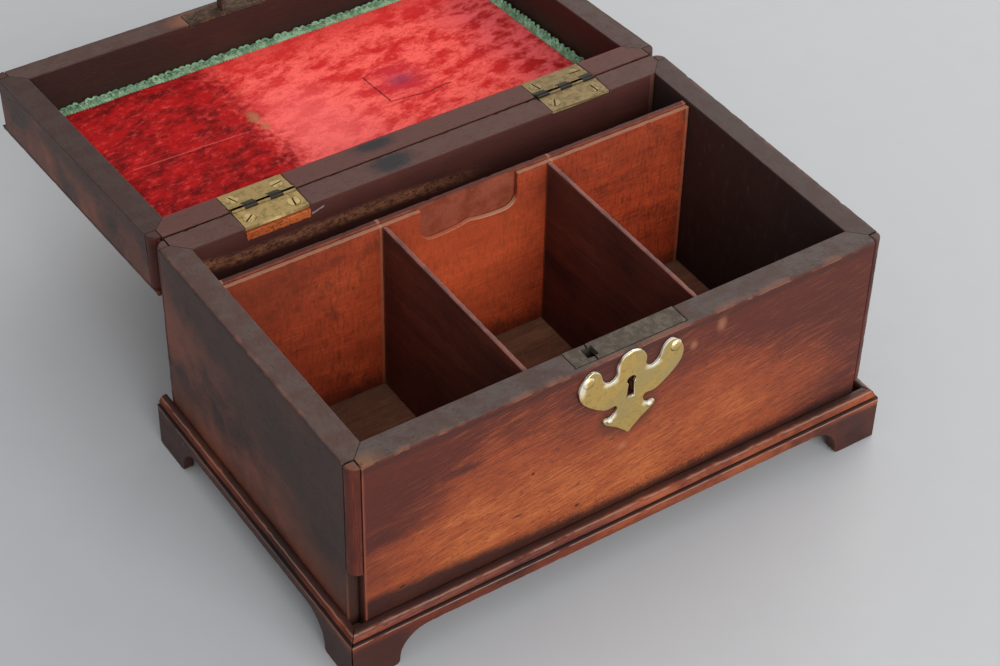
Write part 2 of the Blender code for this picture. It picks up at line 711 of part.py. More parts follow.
def build_bolt(bolt_z, steel):
    """The bolt, thrown to the left: a nose for the staple, a track for the stud, a key talon."""
    tip = STAPLE_X + STAPLE_T / 2 + BOLT_CLEAR
    middle = FRONT_Y + STAPLE_Y
    near, far = middle - BOLT_T, middle + BOLT_T
    bolt = add_box("lock_bolt", (tip, middle - BOLT_T / 2, bolt_z - BOLT_H / 2),
                   (tip + BOLT_L, middle + BOLT_T / 2, bolt_z + BOLT_H / 2), steel)
    shoulder = tip + BOLT_THROW + NOSE_CLEAR
    for name, low, high in (("nose_top", bolt_z + BOLT_NOSE_H / 2, bolt_z + BOLT_H),
                            ("nose_bottom", bolt_z - BOLT_H, bolt_z - BOLT_NOSE_H / 2)):
        combine(bolt, add_box(name, (tip - OVERCUT, near, low), (shoulder, far, high)))
    stud_x = STAPLE_X + BOLT_L - STUD_INSET
    combine(bolt, add_box("bolt_track", (stud_x - STUD_TRACK_R, near, bolt_z - STUD_TRACK_R),
                          (stud_x + BOLT_THROW + STUD_TRACK_R, far, bolt_z + STUD_TRACK_R)))
    talon = KEY_X + TALON_X
    combine(bolt, add_box("bolt_talon", (talon - TALON_W / 2, near, bolt_z - BOLT_H),
                          (talon + TALON_W / 2, far, bolt_z - BOLT_H / 2 + TALON_H)))
    return shoulder


def build_spring(case_top, shoulder, bolt_z, steel):
    """A bowed leaf spring between the bolt's back and the case's top."""
    foot = bolt_z + BOLT_H / 2 + GAP
    rise = case_top - CASE_WALL - GAP - foot - SPRING_T
    under = [(SPRING_L * t, rise * (2 * t - 1) ** 2) for t in (i / 10 for i in range(11))]
    outline = under + [(x, z + SPRING_T) for x, z in reversed(under)]
    place = Matrix.Translation((shoulder, FRONT_Y + STAPLE_Y, foot))
    add_prism("lock_spring", [outline], SPRING_W, place @ BACK_TO_FRONT, steel)


def cut_lock_room(front_wall, case_top):
    """The selvedge's housing, the case's mortise, the flange's housing and the keyhole."""
    inside = FRONT_Y + WALL
    past = inside + OVERCUT
    combine(front_wall, add_box("selvedge_seat",
                                (LOCK_X - SELVEDGE_L / 2 - GAP, FRONT_Y + SELVEDGE_FRONT - GAP,
                                 RIM_Z - SELVEDGE_T - GAP),
                                (LOCK_X + SELVEDGE_L / 2 + GAP, past, RIM_Z + OVERCUT)))
    combine(front_wall, add_box("case_mortise",
                                (LOCK_X - CASE_HALF_W - GAP, FRONT_Y + CASE_FRONT - GAP,
                                 case_top - CASE_H - GAP),
                                (LOCK_X + CASE_HALF_W + GAP, past, RIM_Z)))
    combine(front_wall, add_box("flange_seat",
                                (LOCK_X - FLANGE_HALF_W - GAP, inside - CASE_WALL - 2 * GAP,
                                 case_top - FLANGE_H - GAP),
                                (LOCK_X + FLANGE_HALF_W + GAP, past, RIM_Z)))
    combine(front_wall, add_keyhole_cutter("wall_keyhole", GAP, FRONT_Y - OVERCUT,
                                           FRONT_Y + CASE_FRONT + OVERCUT))


def build_lock(front_wall, brass, steel):
    """A box lock: the selvedge on the rim, the case behind the wood, the bolt and its spring."""
    inside = FRONT_Y + WALL
    case_top = RIM_Z - SELVEDGE_T - 2 * GAP
    bolt_z = RIM_Z - BOLT_DROP
    selvedge = add_box("lock_selvedge",
                       (LOCK_X - SELVEDGE_L / 2, FRONT_Y + SELVEDGE_FRONT, RIM_Z - SELVEDGE_T),
                       (LOCK_X + SELVEDGE_L / 2, inside + SELVEDGE_BACK, RIM_Z), brass)
    case = build_lock_case(case_top, brass)
    middle = FRONT_Y + STAPLE_Y
    slot = add_box("staple_slot",
                   (STAPLE_X - SLOT_W / 2, middle - SLOT_D / 2, case_top - 2 * CASE_WALL),
                   (STAPLE_X + SLOT_W / 2, middle + SLOT_D / 2, RIM_Z + OVERCUT))
    combine(selvedge, slot)
    combine(case, slot)
    build_lock_posts(case, bolt_z)
    shoulder = build_bolt(bolt_z, steel)
    build_spring(case_top, shoulder, bolt_z, steel)
    cut_lock_room(front_wall, case_top)
    size = (SMALL_HEAD_R, SMALL_SHANK_R, SMALL_SCREW_L)
    for name, sign in (("left", -1), ("right", 1)):
        place = (LOCK_X + sign * (CASE_HALF_W + FLANGE_HALF_W) / 2, inside - GAP,
                 case_top - FLANGE_H / 2)
        add_screw("lock_screw_" + name, place, (0, -1, 0), [case, front_wall], size, brass,
                  30 * sign)


def build_link_plate(lid_front_wall, brass):
    """The lid's link plate with the staple that drops through the selvedge to meet the bolt."""
    low = Vector((STAPLE_X - LINK_L / 2, FRONT_Y + WALL - LINK_W, LID_RIM_Z))
    high = Vector((STAPLE_X + LINK_L / 2, FRONT_Y + WALL, LID_RIM_Z + SELVEDGE_T))
    plate = add_box("link_plate", low, high, brass)
    end = RIM_Z - STAPLE_L + STAPLE_W / 2
    half = STAPLE_W / 2
    root = LID_RIM_Z + SELVEDGE_T / 2
    outer = [(half, root), (-half, root)] + arc((0, end), half, 180, 360, 10)
    hole_w, hole_h = BOLT_T / 2 + STAPLE_ROOM, BOLT_NOSE_H / 2 + STAPLE_ROOM
    middle = RIM_Z - BOLT_DROP
    inner = [(hole_w, middle - hole_h), (hole_w, middle + hole_h), (-hole_w, middle + hole_h),
             (-hole_w, middle - hole_h)]
    turn = Matrix.Rotation(math.pi / 2, 4, "Z") @ BACK_TO_FRONT
    staple = add_prism("staple", [outer, inner], STAPLE_T,
                       Matrix.Translation((STAPLE_X, FRONT_Y + STAPLE_Y, 0)) @ turn)
    combine(plate, staple, "UNION")
    room = Vector((GAP, GAP, 0))
    combine(lid_front_wall, add_box("link_seat", low - room - Vector((0, 0, OVERCUT)),
                                    high + Vector((GAP, OVERCUT, GAP))))
    pieces = [plate]
    size = (SMALL_HEAD_R, SMALL_SHANK_R, SMALL_SCREW_L)
    for name, sign in (("left", -1), ("right", 1)):
        place = (STAPLE_X + sign * (LINK_L / 2 - LINK_SCREW_INSET), FRONT_Y + STAPLE_Y, LID_RIM_Z)
        pieces.append(add_screw("link_plate_screw_" + name, place, (0, 0, 1),
                                [plate, lid_front_wall], size, brass, 50 * sign))
    return pieces


def blend_points(knots, steps=4):
    """A smooth closed line through the knots (a Catmull-Rom curve)."""
    points = []
    count = len(knots)
    for i in range(count):
        p0, p1, p2, p3 = (Vector(knots[(i + k) % count]) for k in (-1, 0, 1, 2))
        for s in range(steps):
            t = s / steps
            points.append(0.5 * (2 * p1 + (p2 - p0) * t + (2 * p0 - 5 * p1 + 4 * p2 - p3) * t ** 2
                                 + (3 * p1 - p0 - 3 * p2 + p3) * t ** 3))
    return [(p.x, p.y) for p in points]


def escutcheon_outline():
    """A bat-wing plate: a centre dome, a wing each side, a waist and a barbed foot.

    Millimetres from the keyhole's centre line, downward from the rim; the left half mirrors
    the right.
    """
    dome = [(0, -0.5), (4.4, -1.9), (6.8, -6.2)]
    hollow = [(6.9, -10.4), (10.2, -12.5), (13.6, -9.9)]
    wing = [(15.2, -5.2), (19.0, -2.9), (23.0, -6.0), (25.0, -11.0), (23.6, -16.5), (18.2, -22.0),
            (12.0, -25.8)]
    waist = [(7.2, -25.9), (6.4, -28.4)]
    barb = [(8.4, -31.4), (12.0, -31.6), (11.6, -34.0), (6.2, -37.8), (2.2, -41.3)]
    right = dome + hollow + wing + waist + barb
    knots = right + [(0, -43.3)] + [(-x, z) for x, z in reversed(right[1:])]
    return [(x * MM, z * MM) for x, z in blend_points(knots)]


def build_escutcheon(brass):
    outline = escutcheon_outline()
    hole = [(x, z - KEY_DROP) for x, z in keyhole_outline(KEY_R, KEY_SLOT_H, KEY_SLOT_W)]
    place = Matrix.Translation((KEY_X, FRONT_Y - GAP - ESCUTCHEON_T / 2, RIM_Z))
    add_prism("escutcheon", [outline, hole], ESCUTCHEON_T, place @ BACK_TO_FRONT, brass)


# ---------------------------------------------------------------- assembly

def build():
    mahogany = new_material("mahogany", (0.16, 0.045, 0.018), 0.42)
    dark_wood = new_material("dark_mahogany", (0.045, 0.02, 0.014), 0.5)
    red_wood = new_material("red_mahogany", (0.23, 0.045, 0.014), 0.6)
    new_wood = new_material("repair_wood", (0.42, 0.11, 0.03), 0.7)
    velvet = new_material("red_velvet", (0.5, 0.01, 0.015), 0.9)
    braid = new_material("green_braid", (0.19, 0.3, 0.19), 0.9)
    brass = new_material("brass", (0.5, 0.38, 0.14), 0.35, 1.0)
    iron = new_material("dark_steel", (0.1, 0.09, 0.08), 0.5, 1.0)

    walls = build_walls(mahogany)
    build_corner_beads(walls, mahogany)
    build_bottom(dark_wood)
    build_plinth(mahogany)
    build_mouldings(mahogany)
    build_partitions(red_wood, dark_wood)
    build_lock(walls["front"], brass, iron)
    build_escutcheon(brass)

    lid_walls = build_lid_walls(mahogany)
    lid_pieces = build_lid_beads(lid_walls, mahogany)
    lid_pieces += build_lid_inside(mahogany, velvet, braid)
    lid_pieces += build_link_plate(lid_walls["front"], brass)
    for side in ("left", "right"):
        lid_pieces += build_hinge(side, walls["back"], lid_walls["back"], brass, iron)
    build_hinge_patch(walls["back"], new_wood)
    lid_pieces += list(lid_walls.values())

    hinge = bpy.data.objects.new("lid_hinge_axis", None)
    hinge.location = (0, HINGE_Y, HINGE_Z)
    PARTS.objects.link(hinge)
    for piece in lid_pieces:
        hang(piece, hinge)
    hinge.rotation_euler = (-LID_OPEN, 0, 0)


clear_scene()
PARTS = new_collection("tea_caddy")
CUTTERS = new_collection("cutters")
build()
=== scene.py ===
"""The tea caddy's looks: worn mahogany, tarnished brass, crushed velvet and faded braid.

Everything is in the row frame. Materials measure in millimetres from the caddy itself; the ones
for lid pieces measure with the lid shut, so that they follow its boards whatever its angle.
"""
import json
import math

import bmesh
import bpy
from mathutils import Matrix, Quaternion, Vector, noise


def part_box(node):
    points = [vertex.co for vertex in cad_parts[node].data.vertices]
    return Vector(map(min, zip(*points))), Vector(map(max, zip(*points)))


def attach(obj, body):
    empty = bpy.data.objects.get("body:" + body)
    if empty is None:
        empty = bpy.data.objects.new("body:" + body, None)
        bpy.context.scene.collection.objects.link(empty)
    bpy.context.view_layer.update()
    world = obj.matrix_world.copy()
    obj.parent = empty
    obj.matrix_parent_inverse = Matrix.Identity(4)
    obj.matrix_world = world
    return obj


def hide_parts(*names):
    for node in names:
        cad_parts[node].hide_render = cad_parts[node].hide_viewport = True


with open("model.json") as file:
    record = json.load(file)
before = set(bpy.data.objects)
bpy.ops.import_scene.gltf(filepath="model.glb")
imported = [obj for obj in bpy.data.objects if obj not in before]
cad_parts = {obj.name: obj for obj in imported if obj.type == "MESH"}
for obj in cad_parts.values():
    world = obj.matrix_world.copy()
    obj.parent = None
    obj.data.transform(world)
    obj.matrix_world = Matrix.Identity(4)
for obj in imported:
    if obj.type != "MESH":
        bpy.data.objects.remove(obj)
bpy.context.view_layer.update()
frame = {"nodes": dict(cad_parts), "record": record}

MM = 0.001
NODES = frame["nodes"]
BEHAVIOUR = frame["record"]["behaviour"]
BODY_OF = {node: body for body, nodes in BEHAVIOUR["bodies"].items() for node in nodes}

LID_JOINT = next(joint for joint in BEHAVIOUR["joints"] if joint["type"] == "hinge")
PIN = Vector(LID_JOINT["pos_m"])
SHUT_ANGLE = math.radians(LID_JOINT["range_deg"][1])
SHUTTING = (Matrix.Translation(PIN) @ Matrix.Rotation(SHUT_ANGLE, 4, "X")
            @ Matrix.Translation(-PIN))
OPENING = SHUTTING.inverted()


def shut_box(node):
    """A lid piece's lowest and highest corners with the lid shut, in metres."""
    points = [SHUTTING @ vert.co for vert in NODES[node].data.vertices]
    return (Vector([min(p[i] for p in points) for i in range(3)]),
            Vector([max(p[i] for p in points) for i in range(3)]))


def in_mm(corners):
    return [corner / MM for corner in corners]


# The faces that the materials and new pieces are measured from, in millimetres
FRONT, WALL_FOOT = in_mm(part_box("front_wall"))[0].yz
RIM = in_mm(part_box("front_wall"))[1].z
LEFT, LEFT_INSIDE = (corner.x for corner in in_mm(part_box("left_wall")))
RIGHT = in_mm(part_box("right_wall"))[1].x
BACK_INSIDE, BACK = (corner.y for corner in in_mm(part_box("back_wall")))
LID_RIM = in_mm(shut_box("lid_left_wall"))[0].z
CORNERS = [(x, y, inward_x, inward_y) for y, inward_y in ((FRONT, 1), (BACK, -1))
           for x, inward_x in ((LEFT, 1), (RIGHT, -1))]
LOCK_X = -0.6  # the escutcheon stands a little to the left of the middle
HINGE_SEAT = PIN.z / MM
DIVIDER_X = 42.3
VELVET_LOW, VELVET_HIGH = in_mm(shut_box("velvet_lining"))
BRAID_LOW, BRAID_HIGH = in_mm(shut_box("lining_braid"))


# ---------------------------------------------------------------- materials

class Paint:
    """A material wired up node by node, with masks measured in millimetres."""

    def __init__(self, name, shut=False):
        self.material = bpy.data.materials.new(name)
        self.material.use_nodes = True
        self.tree = self.material.node_tree
        self.shader = self.tree.nodes["Principled BSDF"]
        coordinates = self.tree.nodes.new("ShaderNodeTexCoord")
        place, facing = coordinates.outputs["Object"], coordinates.outputs["Normal"]
        self.shut = shut
        if shut:
            place = self.turn(place, PIN, SHUT_ANGLE)
            facing = self.turn(facing, (0, 0, 0), SHUT_ANGLE)
        self.place = self.vector("SCALE", place, amount=1 / MM)
        self.x, self.y, self.z = self.parts(self.place)
        self.far_x = self.absolute(self.x)
        self.facing_y, self.facing_z = self.parts(facing)[1:]
        self.colour = None

    def plug(self, socket, value):
        if isinstance(value, bpy.types.NodeSocket):
            self.tree.links.new(value, socket)
        elif socket.type == "RGBA":
            socket.default_value = (*value, 1.0) if len(value) == 3 else value
        else:
            socket.default_value = value

    def turn(self, vector, centre, angle, axis="X_AXIS"):
        node = self.tree.nodes.new("ShaderNodeVectorRotate")
        node.rotation_type = axis
        self.plug(node.inputs["Vector"], vector)
        self.plug(node.inputs["Center"], centre)
        self.plug(node.inputs["Angle"], angle)
        return node.outputs["Vector"]

    def vector(self, operation, first, second=None, amount=None):
        node = self.tree.nodes.new("ShaderNodeVectorMath")
        node.operation = operation
        self.plug(node.inputs[0], first)
        if second is not None:
            self.plug(node.inputs[1], second)
        if amount is not None:
            self.plug(node.inputs["Scale"], amount)
        return node.outputs["Value" if operation in ("LENGTH", "DISTANCE", "DOT_PRODUCT") else "Vector"]

    def parts(self, vector):
        node = self.tree.nodes.new("ShaderNodeSeparateXYZ")
        self.plug(node.inputs[0], vector)
        return node.outputs

    def math(self, operation, *values, clamp=False):
        node = self.tree.nodes.new("ShaderNodeMath")
        node.operation = operation
        node.use_clamp = clamp
        for socket, value in zip(node.inputs, values):
            self.plug(socket, value)
        return node.outputs[0]

    def fold(self, operation, values):
        total = values[0]
        for value in values[1:]:
            total = self.math(operation, total, value)
        return total

    def times(self, *values):
        return self.fold("MULTIPLY", values)

    def plus(self, *values):
        return self.fold("ADD", values)

    def either(self, *masks):
        return self.fold("MAXIMUM", masks)

    def less(self, first, second):
        return self.math("SUBTRACT", first, second)

    def flip(self, mask):
        return self.less(1.0, mask)

    def absolute(self, value):
        return self.math("ABSOLUTE", value)

    def scaled(self, value, factor, added):
        return self.math("MULTIPLY_ADD", value, factor, added)

    def noise(self, scale, detail=2.0, rough=0.5, stretch=(1, 1, 1), place=None, offset=0.0,
              twist=0.0):
        """Noise from 0 to 1; scale is in features per millimetre before stretching."""
        node = self.tree.nodes.new("ShaderNodeTexNoise")
        place = self.vector("MULTIPLY", place or self.place, stretch)
        if offset:
            place = self.vector("ADD", place, (offset, offset * 0.7, offset * 1.3))
        self.plug(node.inputs["Vector"], place)
        for name, value in (("Scale", scale), ("Detail", detail), ("Roughness", rough),
                            ("Distortion", twist)):
            self.plug(node.inputs[name], value)
        return node.outputs["Fac"]

    def rise(self, value, low, high):
        """0 below low and 1 above high, with a smooth slope; low may be above high."""
        node = self.tree.nodes.new("ShaderNodeMapRange")
        node.interpolation_type = "SMOOTHSTEP"
        falling = low > high
        for name, setting in (("Value", value), ("From Min", min(low, high)), ("From Max", max(low, high)),
                              ("To Min", float(falling)), ("To Max", float(not falling))):
            self.plug(node.inputs[name], setting)
        return node.outputs["Result"]

    def between(self, value, low, high, soft):
        return self.times(self.rise(value, low - soft, low + soft),
                          self.rise(value, high + soft, high - soft))

    def wobble(self, value, reach, scale=0.15, detail=3.0, stretch=(1, 1, 1), offset=3.0):
        """The value moved by noise, which makes a mask's edge ragged."""
        moved = self.less(self.noise(scale, detail, 0.6, stretch, offset=offset), 0.5)
        return self.scaled(moved, 2.0 * reach, value)

    def ragged(self, value, low, high, reach, *shape):
        """A rise from low to high whose edge is moved by noise."""
        return self.rise(self.wobble(value, reach, *shape), low, high)

    def patches(self, low, high, *shape, **more):
        """Soft-edged patches: where noise of this shape rises from low to high."""
        return self.rise(self.noise(*shape, **more), low, high)

    def spot(self, centre, radii, soft=0.5, ragged=0.0):
        """An ellipsoid of influence: 1 at its centre, fading round its edge."""
        away = self.vector("SUBTRACT", self.place, centre)
        reach = self.vector("LENGTH", self.vector("DIVIDE", away, radii))
        if ragged:
            reach = self.wobble(reach, ragged, 0.3)
        return self.rise(reach, 1 + soft, 1 - soft)

    def line(self, start, end, half_width, soft=0.5, ragged=0.0):
        """A mask along a straight stroke between two points."""
        start, end = Vector(start), Vector(end)
        along = end - start
        away = self.vector("SUBTRACT", self.place, start)
        share = self.vector("DOT_PRODUCT", away, along / along.length_squared)
        share = self.math("MINIMUM", self.math("MAXIMUM", share, 0.0), 1.0)
        nearest = self.vector("SCALE", along, amount=share)
        reach = self.vector("DISTANCE", away, nearest)
        if ragged:
            reach = self.wobble(reach, ragged, 0.6)
        return self.rise(reach, half_width + soft, max(half_width - soft, 0.0))

    def mix(self, below, above, *masks):
        """The colour above over the one below, as strongly as the masks multiply to."""
        node = self.tree.nodes.new("ShaderNodeMix")
        node.data_type = "RGBA"
        node.clamp_factor = True
        factor, first, second = (node.inputs[index] for index in (0, 6, 7))
        for socket, value in ((factor, self.times(*masks)), (first, below), (second, above)):
            self.plug(socket, value)
        return node.outputs[2]

    def lay(self, tone, *masks):
        """Put a tone over the colour so far."""
        self.colour = self.mix(self.colour, tone, *masks)

    def blend(self, below, above, mask):
        """A number that goes from below to above with the mask."""
        return self.scaled(self.less(above, below), mask, below)

    def finish(self, roughness, metallic=0.0, bump=None, depth=0.1, specular=0.25):
        """Plug in the results; depth is the bump's height in millimetres."""
        for name, value in (("Base Color", self.colour), ("Roughness", roughness), ("Metallic", metallic),
                            ("Specular IOR Level", specular)):
            self.plug(self.shader.inputs[name], value)
        if bump is not None:
            node = self.tree.nodes.new("ShaderNodeBump")
            node.inputs["Distance"].default_value = depth * MM
            self.plug(node.inputs["Height"], bump)
            self.plug(self.shader.inputs["Normal"], node.outputs["Normal"])
        return self.material


LENGTHWISE = {"X": (0.06, 1, 1), "Y": (1, 0.06, 1), "Z": (1, 1, 0.06)}
PORE_SHAPE = {"X": (0.16, 1, 1), "Y": (1, 0.16, 1), "Z": (1, 1, 0.16)}


class Grain:
    """Mahogany's figure: broad bands, fine fibres, open pores and cloudy mottling."""

    def __init__(self, paint, along, tilt=0.0, axis=None):
        axis = axis or ("X_AXIS" if along == "Y" else "Y_AXIS")
        place = paint.turn(paint.place, (0, 0, 0), math.radians(tilt), axis) if tilt else paint.place
        self.bands = paint.noise(0.13, 4, 0.6, LENGTHWISE[along], place)
        self.fibres = paint.noise(1.5, 4, 0.65, LENGTHWISE[along], place)
        pores = paint.noise(1.7, 2, 0.5, PORE_SHAPE[along], place, offset=40)
        self.pores = paint.rise(pores, 0.56, 0.7)
        self.mottle = paint.noise(0.03, 4, 0.6)
        self.clouds = paint.noise(0.11, 4, 0.6, offset=20)
        self.relief = paint.less(paint.times(self.fibres, 0.5), self.pores)


def stain(paint, grain, tones, depth=0.0, figure=(1.0, 1.0, 1.0)):
    """Lay the wood's own colour, from light to dark by its bands, mottling and fibres.

    Depth darkens all of it; figure says how much each of the three counts.
    """
    light, middle, dark = tones
    tone = 0.5
    for source, share in zip((grain.bands, grain.mottle, grain.fibres), figure):
        tone = paint.plus(tone, paint.scaled(source, share, -share / 2))
    tone = paint.math("SUBTRACT", tone, depth, clamp=True)
    paint.colour = paint.mix(dark, middle, paint.rise(tone, 0.05, 0.5))
    paint.lay(light, paint.rise(tone, 0.45, 0.9))


def wood(name, along, tones, depth=0.0, figure=(1.0, 1.0, 1.0), shut=False, tilt=0.0, axis=None):
    """A wooden material with its grain, stained in three tones."""
    paint = Paint(name, shut)
    grain = Grain(paint, along, tilt, axis)
    stain(paint, grain, tones, depth, figure)
    return paint, grain


DUSTY = 0.66  # the roughness of dusty and worn-through wood
BLACK_GRIME = (0.011, 0.008, 0.007)
INK = (0.014, 0.017, 0.02)
RIM_BROWN = (0.062, 0.037, 0.03)
RIM_GREY = (0.074, 0.056, 0.049)
RIM_RED = (0.1, 0.039, 0.031)


def rim_wood(paint, grain, reddish):
    """The dull, dusty brown of the faces that close against each other."""
    colour = paint.mix(RIM_BROWN, RIM_GREY, paint.rise(grain.clouds, 0.4, 0.6))
    for tone, *masks in ((RIM_RED, reddish),
                         ((0.035, 0.022, 0.019), grain.pores, 0.45),
                         ((0.045, 0.03, 0.026), paint.rise(grain.fibres, 0.42, 0.3), 0.5),
                         ((0.16, 0.12, 0.1), paint.patches(0.6, 0.72, 0.5, 4, 0.75, offset=9), 0.35)):
        colour = paint.mix(colour, tone, *masks)
    return colour


def lay_rim(paint, grain, reddish):
    """Dust the faces that meet at the joint between box and lid, and give back their mask."""
    level, up = (LID_RIM, -1) if paint.shut else (RIM, 1)
    rim = paint.ragged(paint.z, level - 1.0 * up, level - 0.4 * up, 0.25, 0.5)
    paint.lay(rim_wood(paint, grain, reddish), rim)
    return rim


def seam_mask(paint, corner_x, corner_y, sign_x, sign_y, width=0.5):
    """A thin line along a mitre that starts from a corner of the rim."""
    over_x = paint.times(paint.less(paint.x, corner_x), sign_x)
    over_y = paint.times(paint.less(paint.y, corner_y), sign_y)
    across = paint.absolute(paint.less(over_x, over_y))
    return paint.times(paint.rise(across, width, width * 0.3), paint.rise(over_x, 14, 12))


def lay_seams(paint, rim, strength):
    """Grime in the mitres of the rim's four corners."""
    for corner in CORNERS:
        paint.lay(BLACK_GRIME, rim, seam_mask(paint, *corner), strength)


def front_spots(paint, *spots):
    """Spots on the front wall: x, z, radius along x and z, softness, raggedness and strength."""
    masks = []
    for x, z, radius_x, radius_z, soft, ragged, *strength in spots:
        mask = paint.spot((x, FRONT, z), (radius_x, 9, radius_z), soft, ragged)
        masks.append(paint.times(mask, *strength))
    return paint.either(*masks)


def front_panel():
    """The front wall: glowing orange in the middle, dark red-brown towards its ends."""
    paint = Paint("front_mahogany")
    grain_tilt = 8
    grain = Grain(paint, "X", grain_tilt)
    slant = paint.scaled(paint.z, -0.35, paint.x)
    left_end = paint.ragged(slant, LEFT + 26, LEFT - 42, 22, 0.028, 5, (0.45, 1, 2.2))
    right_end = paint.ragged(paint.x, RIGHT - 84, RIGHT + 14, 20, 0.03, 5, (0.45, 1, 2.2))
    top = paint.ragged(paint.z, RIM - 66, RIM + 8, 6, 0.035, 5, (0.35, 1, 1.6))
    depth = paint.plus(paint.times(left_end, 0.6), paint.times(top, 0.62),
                       paint.times(right_end, 0.6), -0.13)
    stain(paint, grain, ((0.44, 0.122, 0.033), (0.25, 0.049, 0.015), (0.085, 0.016, 0.0095)),
          depth, (0.35, 0.6, 0.75))
    stains = front_spots(paint, (LEFT + 14, 67.5, 15, 4.6, 0.9, 0.5), (LEFT + 50, 84.2, 8, 2.0, 0.9, 0.4),
                         (LEFT + 18, 84, 22, 16, 0.9, 0.5, 0.6), (LEFT + 10, 48, 9, 8, 0.9, 0.5, 0.5),
                         (RIGHT - 22, 82, 22, 18, 0.9, 0.5, 0.4), (RIGHT - 20, 38, 16, 6, 0.9, 0.4, 0.6))
    paint.lay((0.055, 0.011, 0.0085), stains, 0.8)
    paint.lay((0.13, 0.024, 0.012), front_spots(paint, (LOCK_X, RIM - 18, 34, 29, 0.6, 0.25)), 0.4)
    halo = front_spots(paint, (LOCK_X, RIM - 14, 27.5, 13.5, 0.25, 0.1),
                       (LOCK_X, RIM - 34, 14, 11, 0.25, 0.1))
    paint.lay((0.035, 0.012, 0.01), halo, 0.55)
    paint.lay((0.07, 0.017, 0.01), grain.pores, 0.6)
    along_grain = paint.turn(paint.place, (0, 0, 0), math.radians(grain_tilt), "Y_AXIS")
    ticks = paint.patches(0.57, 0.68, 3.2, 2, 0.5, PORE_SHAPE["X"], along_grain, 70)
    paint.lay((0.08, 0.018, 0.01), ticks, 0.55)
    paint.lay((0.62, 0.22, 0.065), paint.rise(grain.fibres, 0.52, 0.7), paint.flip(left_end), 0.12)
    pale = front_spots(paint, (44, 101.2, 2.0, 3.0, 0.8, 0.3), (30.6, 96.4, 1.6, 2.0, 0.8, 0.3),
                       (-2, 58, 2, 1.4, 0.8, 0.3))
    paint.lay((0.4, 0.16, 0.09), pale, 0.45)
    knots = front_spots(paint, (-22.8, 35.6, 1.2, 0.9, 0.6, 0.3), (-51.6, 45.2, 2.4, 0.5, 0.7, 0.3),
                        (-45, 65, 0.7, 0.9, 0.5, 0.2), (-105, 35.8, 1.3, 0.7, 0.5, 0.2))
    paint.lay((0.025, 0.009, 0.007), knots, 0.85)
    to_left = paint.rise(paint.x, 0, LEFT)
    foot_z = paint.scaled(to_left, -7.0, paint.wobble(paint.z, 1.8, 0.16, 4))
    foot = paint.rise(foot_z, WALL_FOOT + 12.5, WALL_FOOT + 6.5)
    paint.lay((0.014, 0.006, 0.006), foot, 0.9)
    stipple = paint.times(paint.patches(0.5, 0.62, 0.9, 3, 0.7, offset=17),
                          paint.rise(paint.z, WALL_FOOT + 17, WALL_FOOT + 9))
    paint.lay((0.03, 0.01, 0.008), stipple, 0.7)
    worn_end = paint.ragged(paint.x, LEFT + 6.4, LEFT + 5.5, 0.4, 0.1)
    paint.lay((0.2, 0.055, 0.03), worn_end, 0.7)
    # Painted shade: the rebate's faces beside the corner bead painted nearly black.
    rebate_shade = paint.times(paint.rise(paint.y, FRONT + 0.5, FRONT + 1.2),
                            paint.rise(paint.far_x, RIGHT - 5.6, RIGHT - 5.0))
    paint.lay((0.028, 0.01, 0.008), rebate_shade, 0.9)
    under_rim = paint.between(paint.wobble(paint.z, 0.9, 0.1), RIM - 4.6, RIM - 1.8, 1.2)
    paint.lay((0.03, 0.013, 0.011), under_rim, 0.5)
    line = paint.between(paint.wobble(paint.z, 0.5, 0.12), RIM - 1.5, RIM - 0.9, 0.35)
    pick = paint.patches(0.45, 0.6, 0.07, 3, 0.6, offset=6)
    paint.lay((0.3, 0.12, 0.07), line, pick, 0.7)
    rim = lay_rim(paint, grain, 0.12)
    paint.lay((0.04, 0.012, 0.008), paint.rise(paint.facing_y, 0.5, 0.8))
    near_edge = paint.ragged(paint.y, FRONT + 3.4, FRONT + 1.0, 0.9, 0.25)
    paint.lay((0.16, 0.07, 0.045), rim, near_edge, pick, 0.6)
    corner = paint.spot((LEFT + 6.5, FRONT + 1.5, RIM), (6.5, 4.5, 6), 0.7, 0.4)
    paint.lay((0.2, 0.09, 0.042), rim, corner, 0.55)
    lay_seams(paint, rim, 0.75)
    rough = paint.blend(0.42, DUSTY, paint.either(rim, paint.times(grain.pores, 0.6)))
    return paint.finish(rough, bump=grain.relief, depth=0.07, specular=0.22)


def dark_case_wood(name, along, shut=False, rim_red=0.3):
    """The caddy's darker outside faces and inner faces, with their dusty rims."""
    paint, grain = wood(name, along, ((0.15, 0.047, 0.026), (0.075, 0.026, 0.017), (0.026, 0.012, 0.01)),
                        0.05, (1.0, 1.5, 0.9), shut=shut, tilt=3)
    paint.lay(BLACK_GRIME, grain.pores, 0.35)
    if shut:
        half_depth = (BACK - FRONT) / 2
        far_y = paint.absolute(paint.less(paint.y, (FRONT + BACK) / 2))
        outside = paint.either(paint.rise(paint.far_x, RIGHT - 6, RIGHT - 2),
                               paint.rise(far_y, half_depth - 6, half_depth - 2))
        low_zone = paint.ragged(paint.z, LID_RIM + 6, LID_RIM + 16, 4, 0.05)
        rust = paint.mix((0.15, 0.04, 0.02), (0.24, 0.07, 0.03), paint.rise(grain.clouds, 0.45, 0.65))
        paint.lay(rust, low_zone, outside, paint.rise(grain.mottle, 0.36, 0.58), 0.7)
        paint.lay((0.026, 0.011, 0.009), paint.flip(outside), 0.65)
    else:
        foot = paint.ragged(paint.z, WALL_FOOT + 11, WALL_FOOT + 5, 1.5, 0.1)
        paint.lay((0.012, 0.007, 0.006), foot, 0.8)
    rim = lay_rim(paint, grain, rim_red)
    lay_seams(paint, rim, 0.6)
    return paint, grain, rim


